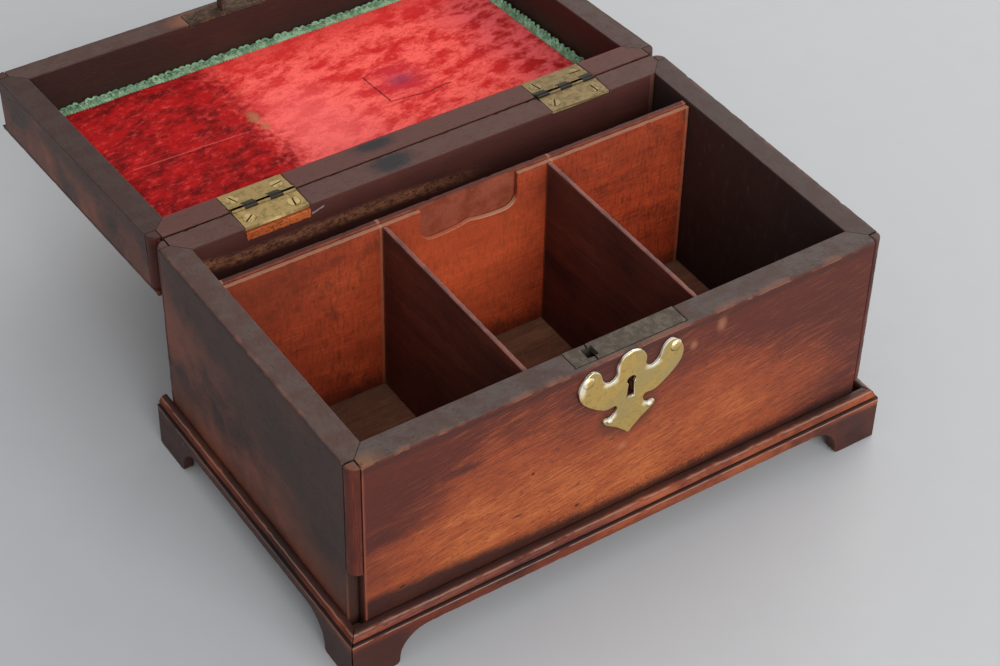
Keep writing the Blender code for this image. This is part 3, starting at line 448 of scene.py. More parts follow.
def finish_case_wood(paint, grain, rim):
    """Polish on the faces, dust on the rim and in the pores."""
    rough = paint.blend(0.45, DUSTY, paint.either(rim, paint.times(grain.pores, 0.5)))
    return paint.finish(rough, bump=grain.relief, depth=0.06, specular=0.2)


def side_panel(name):
    """A side wall: greenish black towards the front, rust-brown lower and further back."""
    paint, grain, rim = dark_case_wood(name, "Y")
    outside = paint.rise(paint.far_x, RIGHT - 6, RIGHT - 2)
    slant = paint.scaled(paint.y, -0.45, paint.z)
    warm = paint.ragged(slant, RIM + 12, RIM - 34, 16, 0.03, 3)
    patch = paint.times(warm, paint.rise(grain.mottle, 0.36, 0.58), outside, paint.flip(rim))
    paint.lay((0.23, 0.068, 0.037), patch, 0.7)
    low = paint.ragged(paint.z, RIM - 52, WALL_FOOT + 10, 9, 0.04, 4, (1, 0.5, 1))
    paint.lay((0.17, 0.055, 0.033), low, outside, 0.45)
    black = paint.times(paint.flip(warm), outside, paint.flip(rim))
    paint.lay((0.042, 0.026, 0.021), black, 0.6)
    # Painted shade: the rebate's faces beside the corner bead painted nearly black.
    rebate_shade = paint.times(paint.rise(paint.far_x, RIGHT - 0.5, RIGHT - 1.2),
                            paint.rise(paint.y, FRONT + 5.6, FRONT + 5.0), outside)
    paint.lay((0.02, 0.01, 0.008), rebate_shade, 0.9)
    # Painted sheen, mixed with scuffs: lighter streaks on the glossy inside face.
    sheen = paint.patches(0.55, 0.72, 0.35, 4, 0.7, (1, 1, 0.25), offset=5)
    inside = paint.flip(outside)
    paint.lay((0.03, 0.021, 0.02), inside, paint.flip(rim), 0.88)
    paint.lay((0.085, 0.066, 0.06), sheen, inside, paint.flip(rim), 0.55)
    if name == "right_mahogany":
        paint.lay((0.04, 0.027, 0.023), rim, 0.4)
    near_edge = paint.ragged(paint.far_x, RIGHT - 2.6, RIGHT - 0.8, 0.7, 0.2)
    pick = paint.patches(0.48, 0.6, 0.06, 3, 0.6, offset=6)
    paint.lay((0.17, 0.07, 0.05), rim, near_edge, pick, 0.6)
    return finish_case_wood(paint, grain, rim)


def back_panel():
    """The back wall, with a lighter, fuzzy band across its inside face."""
    paint, grain, rim = dark_case_wood("back_mahogany", "X", rim_red=0.7)
    blot = paint.spot((-17, BACK - 5, RIM), (9.5, 5.5, 3), 0.5, 0.4)
    paint.lay(INK, blot, rim, 0.85)
    inner = paint.times(paint.rise(paint.facing_y, -0.5, -0.8), paint.flip(rim))
    paint.lay((0.07, 0.022, 0.019), inner, 0.75)
    drop = paint.scaled(paint.rise(paint.x, -45, 15), -2.5, 95.5)
    drop = paint.scaled(paint.rise(paint.x, -90, LEFT), 4.0, drop)
    off = paint.less(paint.wobble(paint.z, 1.6, 0.08, 3, (0.3, 1, 1)), drop)
    band = paint.rise(paint.absolute(off), 4.6, 0.8)
    reach = paint.ragged(paint.x, 34, -12, 14, 0.05)
    fuzz = paint.patches(0.36, 0.62, 0.8, 5, 0.8, (0.5, 1, 1), offset=7)
    paint.lay((0.4, 0.17, 0.085), band, reach, fuzz, inner, 0.85)
    fleck = paint.line((-59.6, BACK_INSIDE, 104.2), (-54.5, BACK_INSIDE, 105.6), 0.25, 0.45, 0.5)
    paint.lay((0.3, 0.3, 0.32), fleck, inner, 0.8)
    strip = paint.between(paint.x, RIGHT - 13.8, RIGHT - 11, 0.3)
    strip = paint.times(strip, paint.rise(paint.z, RIM - 30, RIM - 26), inner)
    paint.lay((0.14, 0.06, 0.04), strip, 0.7)
    return finish_case_wood(paint, grain, rim)


def lid_panel(name, along, rim_red):
    """A lid wall: rusty outside above a dark lower edge, nearly black within."""
    paint, grain, rim = dark_case_wood(name, along, shut=True, rim_red=rim_red)
    if name == "lid_back_mahogany":
        blot = paint.spot((-17, BACK - 8, LID_RIM), (9.5, 4.5, 3), 0.5, 0.4)
        paint.lay(INK, blot, rim, 0.85)
        crimson = paint.ragged(paint.y, BACK - 9.2, BACK - 10.8, 0.7, 0.2)
        paint.lay((0.16, 0.03, 0.03), crimson, rim, 0.45)
    if name == "lid_left_mahogany":
        paint.lay((0.03, 0.013, 0.011), rim, 0.5)
    inner = paint.times(paint.flip(rim), paint.rise(paint.far_x, RIGHT - 2, RIGHT - 5),
                        paint.between(paint.y, FRONT + 4, BACK - 4, 1))
    paint.lay((0.03, 0.015, 0.013), inner, 0.55)
    if name == "lid_front_mahogany":
        bare = paint.either(paint.spot((-32.5, FRONT + 7, LID_RIM), (9, 5.0, 3), 0.7, 0.3),
                            paint.spot((8, FRONT + 7, LID_RIM), (7.0, 5.0, 3), 0.7, 0.3))
        paint.lay((0.22, 0.085, 0.042), bare, rim, 0.8)
    return finish_case_wood(paint, grain, rim)


def bead_wood(name, shut=False):
    """The corner beads: red-brown, with grime towards the grooves beside them."""
    paint, grain = wood(name, "Z", ((0.12, 0.025, 0.013), (0.066, 0.014, 0.009), (0.024, 0.008, 0.006)),
                        0.0, (1.0, 1.2, 1.0), shut=shut)
    scuffs = paint.patches(0.62, 0.7, 0.4, 4, 0.75, offset=3)
    paint.lay((0.26, 0.14, 0.11), scuffs, 0.4)
    if shut:
        end = paint.rise(paint.z, LID_RIM + 1.4, LID_RIM + 0.5)
        paint.lay((0.06, 0.032, 0.026), end, 0.8)
    else:
        end = paint.rise(paint.z, RIM - 1.6, RIM - 0.6)
        at_left = paint.spot((LEFT + 3, FRONT + 3, RIM), (9, 9, 9), 0.3)
        ends = paint.mix(rim_wood(paint, grain, 0.4), (0.16, 0.065, 0.032), at_left, 0.6)
        paint.lay(ends, end, 0.9)
        foot = paint.ragged(paint.z, WALL_FOOT + 16, WALL_FOOT + 8, 2, 0.1)
        paint.lay(BLACK_GRIME, foot, 0.7)
    rough = paint.blend(0.4, DUSTY, end)
    return paint.finish(rough, bump=grain.fibres, depth=0.05, specular=0.18)


def edge_bead_wood(name, along):
    """The beads round the lid's top, rubbed bare in places towards the hinges."""
    paint, grain = wood(name, along, ((0.16, 0.05, 0.026), (0.075, 0.024, 0.016), (0.028, 0.012, 0.009)),
                        0.0, (1.0, 1.4, 1.0), shut=True)
    near_hinge = paint.ragged(paint.y, BACK - 55, BACK - 8, 8, 0.05)
    worn = paint.patches(0.45, 0.6, 0.1, 4, 0.7, offset=6)
    paint.lay((0.24, 0.085, 0.04), near_hinge, worn, 0.5)
    return paint.finish(0.45, bump=grain.fibres, depth=0.05)


def plinth_wood(name, along):
    """Plinth and moulding: reddish, with black in the quirks and pale lines on the arrises, partly wear and
    partly painted highlight.
    """
    paint, grain = wood(name, along, ((0.28, 0.06, 0.019), (0.125, 0.023, 0.01), (0.03, 0.008, 0.006)),
                        0.05, (1.2, 1.3, 1.0), tilt=2)
    if along == "X":
        lit = paint.ragged(paint.x, -40, 60, 24, 0.02)
        lit = paint.times(lit, paint.rise(grain.mottle, 0.35, 0.6))
        paint.lay((0.36, 0.095, 0.035), lit, 0.5)
    paint.lay((0.03, 0.01, 0.008), grain.pores, 0.45)
    feet = paint.ragged(paint.z, 20, 9, 2, 0.06)
    ends = paint.ragged(paint.far_x, RIGHT - 34, RIGHT - 14, 6, 0.06)
    dark_feet = paint.either(paint.times(feet, 0.75), paint.times(ends, paint.rise(paint.z, 21, 18), 0.85))
    paint.lay((0.032, 0.012, 0.01), dark_feet)
    quirk = paint.between(paint.wobble(paint.z, 0.2, 0.3), 22.0, 23.1, 0.35)
    paint.lay(BLACK_GRIME, quirk, 0.9)
    # Pale line on the lower arris: wear with a painted highlight.
    arris = paint.between(paint.wobble(paint.z, 0.12, 0.3), 21.3, 21.75, 0.2)
    broken = paint.patches(0.36, 0.5, 0.08, 3, 0.6, offset=13)
    paint.lay((0.36, 0.25, 0.19), arris, broken, 0.75)
    top = paint.ragged(paint.z, 25.5, 25.9, 0.15, 0.2)
    paint.lay((0.02, 0.012, 0.01), top, 0.8)
    # Pale line on the moulding's crest: wear with a painted highlight.
    crest = paint.times(paint.between(paint.wobble(paint.z, 0.1, 0.3), 25.15, 25.5, 0.15), broken)
    paint.lay((0.3, 0.2, 0.14), crest, 0.6)
    chips = paint.patches(0.72, 0.76, 0.3, 3, 0.7, offset=31)
    paint.lay((0.42, 0.22, 0.13), chips, 0.6)
    rough = paint.blend(0.42, DUSTY, paint.either(quirk, paint.times(grain.pores, 0.5)))
    return paint.finish(rough, bump=grain.relief, depth=0.06, specular=0.2)


def partition_wood(name, loose=False):
    """The boards across the inside: orange-red, mottled and specked with black."""
    paint, grain = wood(name, "X", ((0.78, 0.115, 0.035), (0.54, 0.067, 0.021), (0.25, 0.031, 0.013)),
                        -0.02, (0.7, 1.4, 0.9))
    weave = paint.patches(0.46, 0.64, 0.7, 5, 0.75, (1, 1, 0.22), offset=22)
    paint.lay((0.12, 0.026, 0.013), weave, 0.62)
    threads = paint.patches(0.52, 0.7, 0.9, 4, 0.7, (0.15, 1, 1), offset=52)
    paint.lay((0.9, 0.17, 0.055), threads, 0.35)
    specks = paint.patches(0.57, 0.66, 0.55, 4, 0.75, offset=12)
    dirty = paint.either(paint.spot((LEFT + 38, FRONT, RIM - 12), (46, 400, 26), 0.8, 0.4),
                         paint.patches(0.42, 0.62, 0.03, 3, 0.6, offset=2))
    paint.lay((0.04, 0.018, 0.012), specks, dirty, 0.7)
    clouds = paint.rise(grain.clouds, 0.48, 0.66)
    paint.lay((0.09, 0.024, 0.013), clouds, dirty, 0.55)
    # Painted shade: the boards darker towards their left end.
    to_left = paint.ragged(paint.x, -34, -112, 12, 0.04)
    paint.lay((0.22, 0.037, 0.015), to_left, 0.55)
    # Painted light: a broad, brighter pool in the middle of the boards.
    painted_light_pool = paint.spot((-4, FRONT + 110, RIM - 40), (46, 90, 44), 0.5, 0.3)
    paint.lay((0.95, 0.16, 0.05), painted_light_pool, 0.35)
    shade = paint.ragged(paint.z, RIM - 50, RIM - 8, 5, 0.05)
    paint.lay((0.1, 0.021, 0.01), shade, 0.55)
    crest_z = RIM - (2.2 if loose else 2.75)
    crest = paint.ragged(paint.z, crest_z, crest_z + 0.35, 0.15, 0.4)
    paint.lay((0.014, 0.007, 0.006) if loose else (0.25, 0.12, 0.07), crest, 0.8)
    if loose:
        haze = paint.mix((0.24, 0.066, 0.037), (0.16, 0.034, 0.018), paint.rise(grain.clouds, 0.4, 0.65))
        haze = paint.mix(haze, (0.5, 0.28, 0.2), paint.patches(0.66, 0.72, 1.2, 3, 0.7, offset=33), 0.6)
        paint.lay(haze, paint.rise(paint.facing_y, -0.6, -0.9), 0.75)
        paint.lay((0.04, 0.014, 0.01), paint.rise(paint.facing_y, 0.6, 0.9), 0.8)
    else:
        # Painted highlight on the notch's upward-facing edge, stronger towards the right.
        lip_highlight = paint.times(paint.rise(paint.facing_z, 0.2, 0.6), paint.rise(paint.z, RIM - 3.0, RIM - 3.8),
                          paint.rise(paint.z, RIM - 30, RIM - 26))
        to_right = paint.blend(0.35, 1.0, paint.rise(paint.x, -6, 12))
        paint.lay((0.5, 0.27, 0.16), lip_highlight, to_right, 0.75)
    low = paint.ragged(paint.z, 32, 22, 2.5, 0.12)
    paint.lay((0.06, 0.018, 0.011), low, 0.6)
    joints = []
    for joint_x in (LEFT_INSIDE + 0.9, -LEFT_INSIDE - 1.4, -DIVIDER_X, DIVIDER_X):
        joints.append(paint.rise(paint.absolute(paint.less(paint.x, joint_x)), 0.9, 0.3))
    paint.lay((0.4, 0.17, 0.09), paint.either(*joints), 0.55)
    bump = paint.plus(paint.times(grain.fibres, 0.6), specks)
    return paint.finish(0.6, bump=bump, depth=0.06, specular=0.2)


def divider_wood():
    """The cross dividers: nearly black on their faces, rubbed pinkish brown along the top."""
    paint, grain = wood("divider_mahogany", "Y",
                        ((0.13, 0.032, 0.018), (0.08, 0.02, 0.014), (0.034, 0.012, 0.01)), 0.0,
                        (1.2, 1.2, 1.0), tilt=5)
    crest = paint.ragged(paint.z, RIM - 2.9, RIM - 2.5, 0.15, 0.3)
    rubbed = paint.mix((0.12, 0.045, 0.037), (0.2, 0.07, 0.05), paint.rise(grain.clouds, 0.4, 0.6))
    paint.lay(rubbed, crest, 0.85)
    end = paint.ragged(paint.y, FRONT + 115.6, FRONT + 116.6, 0.4, 0.3)
    paint.lay((0.34, 0.14, 0.07), end, 0.5)
    bump = paint.less(paint.times(grain.fibres, 0.6), grain.pores)
    return paint.finish(0.55, bump=bump, depth=0.05, specular=0.2)


def bottom_wood():
    """The bottom board: paler and dustier than the walls."""
    paint, grain = wood("bottom_board_wood", "X",
                        ((0.3, 0.14, 0.078), (0.19, 0.082, 0.048), (0.07, 0.032, 0.02)), 0.0,
                        (1.0, 1.2, 1.0))
    dust = paint.patches(0.55, 0.7, 0.4, 4, 0.7)
    paint.lay((0.3, 0.2, 0.13), dust, 0.35)
    return paint.finish(0.75, bump=grain.fibres, depth=0.05, specular=0.15)


def repair_wood():
    """The newer, orange block under the left hinge, with its rough lower edge."""
    paint, grain = wood("repair_block_wood", "X",
                        ((0.52, 0.125, 0.032), (0.36, 0.075, 0.02), (0.15, 0.03, 0.012)), -0.05)
    pits = paint.patches(0.55, 0.68, 0.9, 3, 0.7, offset=4)
    paint.lay((0.13, 0.03, 0.014), pits, 0.6)
    bump = paint.less(grain.fibres, pits)
    return paint.finish(0.7, bump=bump, depth=0.3, specular=0.15)


def panel_wood():
    """The outside of the lid's top."""
    paint, grain = wood("lid_top_mahogany", "X",
                        ((0.36, 0.09, 0.028), (0.18, 0.042, 0.016), (0.05, 0.014, 0.009)), 0.0,
                        (1.1, 1.2, 1.2), shut=True, tilt=3, axis="Z_AXIS")
    paint.lay((0.035, 0.012, 0.009), grain.pores, 0.5)
    return paint.finish(0.42, bump=grain.relief, depth=0.06)


def brass(name, bright, dull, tarnish, rough=0.3, shut=False, scratches=0.4):
    """Old brass: rubbed bright in places and dulled in others, with fine scratches."""
    paint = Paint(name, shut)
    cover = paint.patches(0.62 - tarnish * 0.4, 0.72 - tarnish * 0.25, 0.35, 5, 0.7)
    paint.colour = paint.mix(bright, dull, cover)
    specks = paint.patches(0.62, 0.72, 2.0, 3, 0.6, offset=8)
    paint.lay((0.12, 0.08, 0.035), specks, 0.35)
    fine = paint.noise(3.0, 2, 0.6, (0.06, 1, 1), paint.turn(paint.place, (0, 0, 0), 0.5, "Z_AXIS"))
    level = paint.scaled(fine, 0.15, paint.blend(rough, rough + 0.2, cover))
    bump = paint.plus(paint.times(fine, scratches), paint.times(specks, -0.6))
    return paint, level, bump


LID_KNUCKLES = (-84.7, -72.7, 60.7, 72.7, 84.7)  # where each begins along the pin
KNUCKLE_LENGTH = 6.0


def hinge_brass(name, shut=False, screw=False, browned=0.0):
    """The hinges' dull yellow brass, black-brown where the lid's knuckles turn."""
    tones = ((0.6, 0.44, 0.2), (0.38, 0.27, 0.11)) if screw else ((0.42, 0.3, 0.125), (0.32, 0.225, 0.09))
    paint, level, bump = brass(name, *tones, 0.4, 0.5, shut, 0.8)
    paint.lay((0.17, 0.125, 0.07), browned)
    if screw:
        down = 1 if shut else -1
        in_slot = paint.rise(paint.z, HINGE_SEAT + 0.5 * down, HINGE_SEAT + 0.65 * down)
        paint.lay((0.02, 0.014, 0.008), in_slot, 0.9)
    else:
        reach = paint.vector("LENGTH", paint.vector(
            "MULTIPLY", paint.vector("SUBTRACT", paint.place, PIN / MM), (0, 1, 1)))
        if shut:
            own = paint.either(*(
                paint.between(paint.wobble(paint.x, 0.15, 0.6), start, start + KNUCKLE_LENGTH, 0.2)
                for start in LID_KNUCKLES))
            share = paint.times(paint.ragged(reach, 3.7, 3.2, 0.3, 0.6), own, 0.92)
        else:
            share = paint.times(paint.between(reach, 1.35, 1.8, 0.2), 0.3)
        paint.lay((0.045, 0.042, 0.04), share)
        level = paint.blend(level, 0.7, share)
    return paint.finish(level, 1.0, bump=bump, depth=0.03)


def dull_brass(name, shut=False):
    """The lock's brown-grey brass, and the link plate's, darker and browner."""
    bright = (0.15, 0.085, 0.05) if shut else (0.125, 0.1, 0.077)
    dull = (0.07, 0.045, 0.032) if shut else (0.105, 0.084, 0.065)
    paint, level, bump = brass(name, bright, dull, 0.6, 0.5, shut)
    smears = paint.patches(0.42, 0.68, 0.18, 5, 0.7, (0.3, 1, 1), offset=11)
    paint.lay((0.095, 0.075, 0.058), smears, 0.6)
    nicks = paint.patches(0.68, 0.73, 1.1, 3, 0.7, offset=27)
    paint.lay((0.36, 0.3, 0.2), nicks, 0.6)
    return paint.finish(paint.plus(level, 0.1), 0.7, bump=bump, depth=0.05)


def escutcheon_brass():
    """Golden, worn smooth, with white polish dried along its upper edges and in its corners, painted
    reflections across its face, a painted highlight on its upward-facing rounded edges and painted shade on
    its downward-facing ones.
    """
    paint, level, bump = brass("escutcheon_brass", (0.74, 0.5, 0.155), (0.5, 0.34, 0.11), 0.3, 0.22)
    # Painted reflection: broad, warmer patches across the plate's face.
    warm = paint.patches(0.45, 0.6, 0.06, 3, 0.5, offset=2)
    paint.lay((0.55, 0.43, 0.19), warm, 0.6)
    rounded_all = paint.rise(paint.facing_y, -0.9, -0.5)
    paint.lay((0.12, 0.08, 0.035), rounded_all, 0.7)
    rounded = paint.rise(paint.facing_y, -0.97, -0.85)
    # Painted highlight: the rounded edges that face upward are painted pale gold.
    upper = paint.times(rounded, paint.rise(paint.facing_z, -0.1, 0.3))
    paint.lay((1.0, 0.9, 0.6), upper, 0.8)
    residue = paint.times(upper, paint.patches(0.42, 0.56, 0.4, 4, 0.75, offset=4))
    # Painted shade: the rounded edges that face downward are painted dark.
    lower = paint.times(rounded, paint.rise(paint.facing_z, -0.1, -0.5))
    paint.lay((0.1, 0.07, 0.035), lower, 0.85)
    valleys = paint.either(*(
        paint.spot((LOCK_X + x, FRONT - 1, RIM + z), (radius_x, 6, radius_z), 0.5, 0.4)
        for x, z, radius_x, radius_z in ((-10.2, -12.2, 3.4, 1.5), (10.2, -12.2, 3.4, 1.5),
                                         (-9, -31.2, 2.6, 1.6), (9, -31.2, 2.6, 1.6),
                                         (-23.6, -8.5, 1.6, 4.5), (-7.2, -6.5, 1.2, 4.5))))
    white = paint.either(residue, paint.times(valleys, 0.8))
    paint.lay((0.62, 0.64, 0.6), white, 0.8)
    metal = paint.blend(1.0, 0.1, paint.times(white, 0.8))
    return paint.finish(paint.blend(level, 0.7, white), metal, bump=bump, depth=0.05)


def iron():
    """Dark iron, partly rusted, of the lock's works and the hinge pins."""
    paint = Paint("dark_iron")
    rust = paint.patches(0.45, 0.65, 0.6, 3, 0.6)
    paint.colour = paint.mix((0.16, 0.15, 0.14), (0.09, 0.05, 0.03), rust)
    return paint.finish(paint.blend(0.4, 0.75, rust), 0.8, bump=rust, depth=0.03)


def velvet():
    """Crushed silk velvet: deep crimson where the pile lies away, coral where it is rubbed, with painted
    highlights and shade on its pile and along a fold.
    """
    paint = Paint("red_velvet", True)
    x, y = paint.x, paint.y
    back = BACK + 1.3

    def worn_spot(x, from_back, radius_x, radius_y, *edge):
        return paint.spot((x, back - from_back, VELVET_LOW.z), (radius_x, radius_y, 30), *edge)

    def stroke(x, from_back, end_x, end_from_back, *edge):
        return paint.line((x, back - from_back, VELVET_LOW.z), (end_x, back - end_from_back, VELVET_LOW.z),
                          *edge)

    warp = paint.turn(paint.place, (0, 0, 0), 0.2, "Z_AXIS")
    lay = paint.noise(0.07, 7, 0.72, (1.0, 1.7, 1), warp, twist=0.25)
    tufts = paint.noise(0.22, 6, 0.75, (1, 1.5, 1), warp, 5, twist=0.2)
    pile = paint.noise(1.6, 4, 0.7, (0.7, 1.2, 1), offset=15)
    boundary = paint.wobble(paint.wobble(x, 5, 0.05, 4), 16, 0.35, 4)
    right_part = paint.rise(boundary, -42, -24)
    far_dark = paint.ragged(x, 68, 100, 12, 0.05, 4)
    worn = paint.times(right_part, paint.flip(paint.times(far_dark, 0.45)))
    deep = paint.mix((0.12, 0.0015, 0.002), (0.4, 0.005, 0.006), paint.rise(lay, 0.36, 0.6))
    deep = paint.mix(deep, (0.82, 0.06, 0.05), paint.rise(tufts, 0.48, 0.78), 0.9)
    rubbed = paint.mix((0.6, 0.018, 0.017), (0.95, 0.125, 0.1), paint.rise(lay, 0.4, 0.58))
    mottle = paint.noise(0.5, 5, 0.75, (0.9, 1.2, 1), warp, 31)
    rubbed = paint.mix(rubbed, (0.55, 0.012, 0.014), paint.rise(mottle, 0.52, 0.66), 0.55)
    calm = paint.flip(paint.times(worn_spot(2, 66, 46, 36, 0.5, 0.3), 0.8))
    rubbed = paint.mix(rubbed, (0.5, 0.006, 0.01), paint.rise(tufts, 0.48, 0.76), calm, 0.85)
    paint.colour = paint.mix(deep, rubbed, worn)
    pink = paint.times(worn, worn_spot(-14, 62, 24, 36, 0.7, 0.4))
    paint.lay((0.94, 0.16, 0.15), pink, 0.55)
    mauve = paint.times(far_dark, paint.rise(lay, 0.4, 0.6))
    paint.lay((0.9, 0.13, 0.15), mauve, 0.6)
    # Painted highlights on the pile's raised tips, and painted shade in its hollows.
    paint.lay((1.0, 0.2, 0.17), paint.rise(pile, 0.58, 0.75), worn, 0.35)
    paint.lay((0.12, 0.001, 0.003), paint.rise(pile, 0.45, 0.32), 0.22)
    top = paint.times(right_part, paint.ragged(y, back - 118, back - 134, 5, 0.05))
    paint.lay((0.8, 0.04, 0.035), top, 0.5)
    tan = paint.either(worn_spot(-34, 88, 2.4, 5, 0.6, 0.5),
                       worn_spot(-33, 79, 1.8, 2.4, 0.7, 0.4))
    paint.lay((0.4, 0.17, 0.08), tan, 0.7)
    purple = worn_spot(37, 77, 11, 11, 0.9, 0.4)
    paint.lay((0.5, 0.04, 0.07), purple, 0.5)
    bruise = worn_spot(37.5, 77.5, 5, 3.4, 0.9, 0.6)
    paint.lay((0.16, 0.018, 0.07), bruise, 0.6)
    slits = paint.either(
        stroke(23.6, 88.5, 23.8, 63.8, 0.35, 0.4, 0.4),
        stroke(23.8, 63.8, 44.5, 60.5, 0.2, 0.4, 0.3),
        stroke(44.5, 61.2, 54.5, 61.9, 0.4, 0.4, 0.3))
    faint = paint.either(stroke(23.6, 88.5, 45.6, 90.5, 0.15, 0.45, 0.3),
                         stroke(45.6, 90.5, 44.5, 61, 0.1, 0.4, 0.3))
    paint.lay((0.03, 0.006, 0.007), slits, 0.9)
    paint.lay((0.25, 0.03, 0.03), faint, 0.5)
    # Painted highlight along a fold in the velvet, with painted shade just beside it.
    crease = stroke(-97.3, 81, -38.4, 79.4, 0.1, 0.6, 0.4)
    paint.lay((0.8, 0.13, 0.11), crease, 0.45)
    under = stroke(-97.3, 79.8, -38.4, 78.2, 0.2, 0.8, 0.4)
    paint.lay((0.1, 0.001, 0.003), under, 0.4)
    grime = paint.ragged(y, back - 26, back - 13, 4, 0.06)
    paint.lay((0.4, 0.012, 0.03), grime, worn, 0.5)
    bump = paint.plus(paint.times(tufts, 0.8), paint.times(pile, 0.4))
    material = paint.finish(0.9, bump=bump, depth=0.6, specular=0.08)
    paint.shader.inputs["Sheen Weight"].default_value = 0.1
    paint.shader.inputs["Sheen Roughness"].default_value = 0.4
    paint.plug(paint.shader.inputs["Sheen Tint"], (1.0, 0.3, 0.28))
    return material


def braid_thread():
    """The braid's faded, soiled green thread, with painted highlights in its paler patches and painted
    shade between its strands.
    """
    paint = Paint("green_braid", True)
    # Paler patches: fading, in a painted highlight tone.
    fade_and_highlight = paint.patches(0.38, 0.62, 0.25, 4, 0.65)
    paint.colour = paint.mix((0.15, 0.27, 0.15), (0.33, 0.5, 0.32), fade_and_highlight)
    # Painted shade: darker where the strands sink.
    strands = paint.noise(4.0, 2, 0.5, offset=3)
    paint.lay((0.03, 0.07, 0.035), paint.rise(strands, 0.5, 0.35), 0.6)
    soiled = paint.patches(0.58, 0.72, 0.12, 3, 0.6, offset=14)
    paint.lay((0.2, 0.17, 0.08), soiled, 0.4)
    return paint.finish(0.85, bump=strands, depth=0.2, specular=0.15)


# ---------------------------------------------------------------- geometry

ARRIS_ANGLE = math.radians(35)


def link(obj):
    """Put a new object in the scene."""
    bpy.context.scene.collection.objects.link(obj)
    return obj


def smooth(mesh):
    """Shade the mesh smooth, but for the edges sharper than an arris."""
    mesh.shade_smooth()
    mesh.set_sharp_from_angle(angle=ARRIS_ANGLE)


def clean_copy(node):
    """The CAD piece as a bmesh with its split corners joined and its flats made whole.

    A lid piece comes with the lid shut; stand_in opens it again.
    """
    bm = bmesh.new()
    bm.from_mesh(NODES[node].data)
    bmesh.ops.remove_doubles(bm, verts=bm.verts, dist=0.01 * MM)
    bmesh.ops.dissolve_limit(bm, angle_limit=math.radians(0.5), verts=bm.verts, edges=bm.edges)
    if on_lid(node):
        bm.transform(SHUTTING)
    return bm


def on_lid(node):
    """Whether a CAD piece belongs to the lid."""
    return BODY_OF[node] == "lid"


def take_over(obj, node):
    """Let an object ride on a CAD piece's body and stand in for it."""
    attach(obj, BODY_OF[node])
    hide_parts(node)


def baked(obj):
    """The object's mesh as its modifiers or its curve leave it."""
    bpy.context.view_layer.update()
    return bpy.data.meshes.new_from_object(obj.evaluated_get(bpy.context.evaluated_depsgraph_get()))


def stand_in(node, bm, material, name=None):
    """Put new geometry, measured with the lid shut, in a CAD piece's place."""
    if on_lid(node):
        bm.transform(OPENING)
    mesh = bpy.data.meshes.new(name or node + "_worn")
    bm.to_mesh(mesh)
    bm.free()
    smooth(mesh)
    obj = link(bpy.data.objects.new(mesh.name, mesh))
    weigh = obj.modifiers.new("flat_faces_stay_flat", "WEIGHTED_NORMAL")
    weigh.keep_sharp = True
    obj.data = baked(obj)
    obj.modifiers.clear()
    obj.data.materials.append(material)
    bpy.data.meshes.remove(mesh)
    take_over(obj, node)


def soften(bm, width, rule, steps):
    """Round the sharp outer edges whose middle point (in millimetres) passes the rule."""
    chosen = []
    for edge in bm.edges:
        if len(edge.link_faces) != 2 or edge.calc_face_angle_signed() < ARRIS_ANGLE:
            continue
        ends = [vert.co / MM for vert in edge.verts]
        if rule((ends[0] + ends[1]) / 2, ends[1] - ends[0]):
            chosen.append(edge)
    bmesh.ops.bevel(bm, geom=chosen, offset=width * MM, segments=steps, profile=0.5,
                    affect="EDGES", clamp_overlap=True)


def cut(bm, point, normal, **options):
    """Cut the piece with a plane."""
    return bmesh.ops.bisect_plane(bm, geom=bm.verts[:] + bm.edges[:] + bm.faces[:], dist=1e-7,
                                  plane_co=point, plane_no=normal, **options)


def slice_up(bm, axis, step):
    """Cut a long piece across at every step (millimetres), so that its edges can wear unevenly."""
    normal = Vector([float(i == axis) for i in range(3)])
    reach = [vert.co[axis] for vert in bm.verts]
    count = int((max(reach) - min(reach)) / (step * MM))
    for index in range(1, count):
        cut(bm, normal * (min(reach) + (max(reach) - min(reach)) * index / count), normal)


def fray(bm, near, reach, scale, seed):
    """Push the points that pass the rule inward by noise: shallow wear and a few deeper chips."""
    bm.normal_update()
    for vert in bm.verts:
        point = vert.co / MM
        if not near(point):
            continue
        wave = noise.noise(point * scale + Vector((seed, 0, 0)))
        chip = max(noise.noise(point * scale * 2.3 + Vector((0, seed, 0))) - 0.25, 0.0)
        vert.co -= vert.normal * (reach * (0.5 * abs(wave) + 2.2 * chip) * MM)


def close_mitres(bm, reach=0.12):
    """Move the mitred ends out until the joints are hairlines."""
    for vert in bm.verts:
        x, y = vert.co.x / MM, vert.co.y / MM
        for corner_x, corner_y, sign_x, sign_y in CORNERS:
            over_x, over_y = (x - corner_x) * sign_x, (y - corner_y) * sign_y
            gap = over_x - over_y
            if abs(gap) < 0.3 and 0.5 < over_x < 20:
                move = -math.copysign(reach / 2, gap) * MM
                vert.co.x += move * sign_x
                vert.co.y -= move * sign_y


def crowd_back(bm, node, reach=0.9):
    """Swell the back walls' meeting edges until lid and box nearly touch behind the hinges."""
    fence_off(bm, node)
    for vert in bm.verts:
        point = vert.co / MM
        if point.y > BACK - 0.05 and RIM - 2.0 < point.z < LID_RIM + 2.0:
            vert.co.y += reach * MM


def anything(middle, along):
    """The rule that softens every sharp edge."""
    return True


def anywhere(point):
    """The rule that frays the whole piece."""
    return True


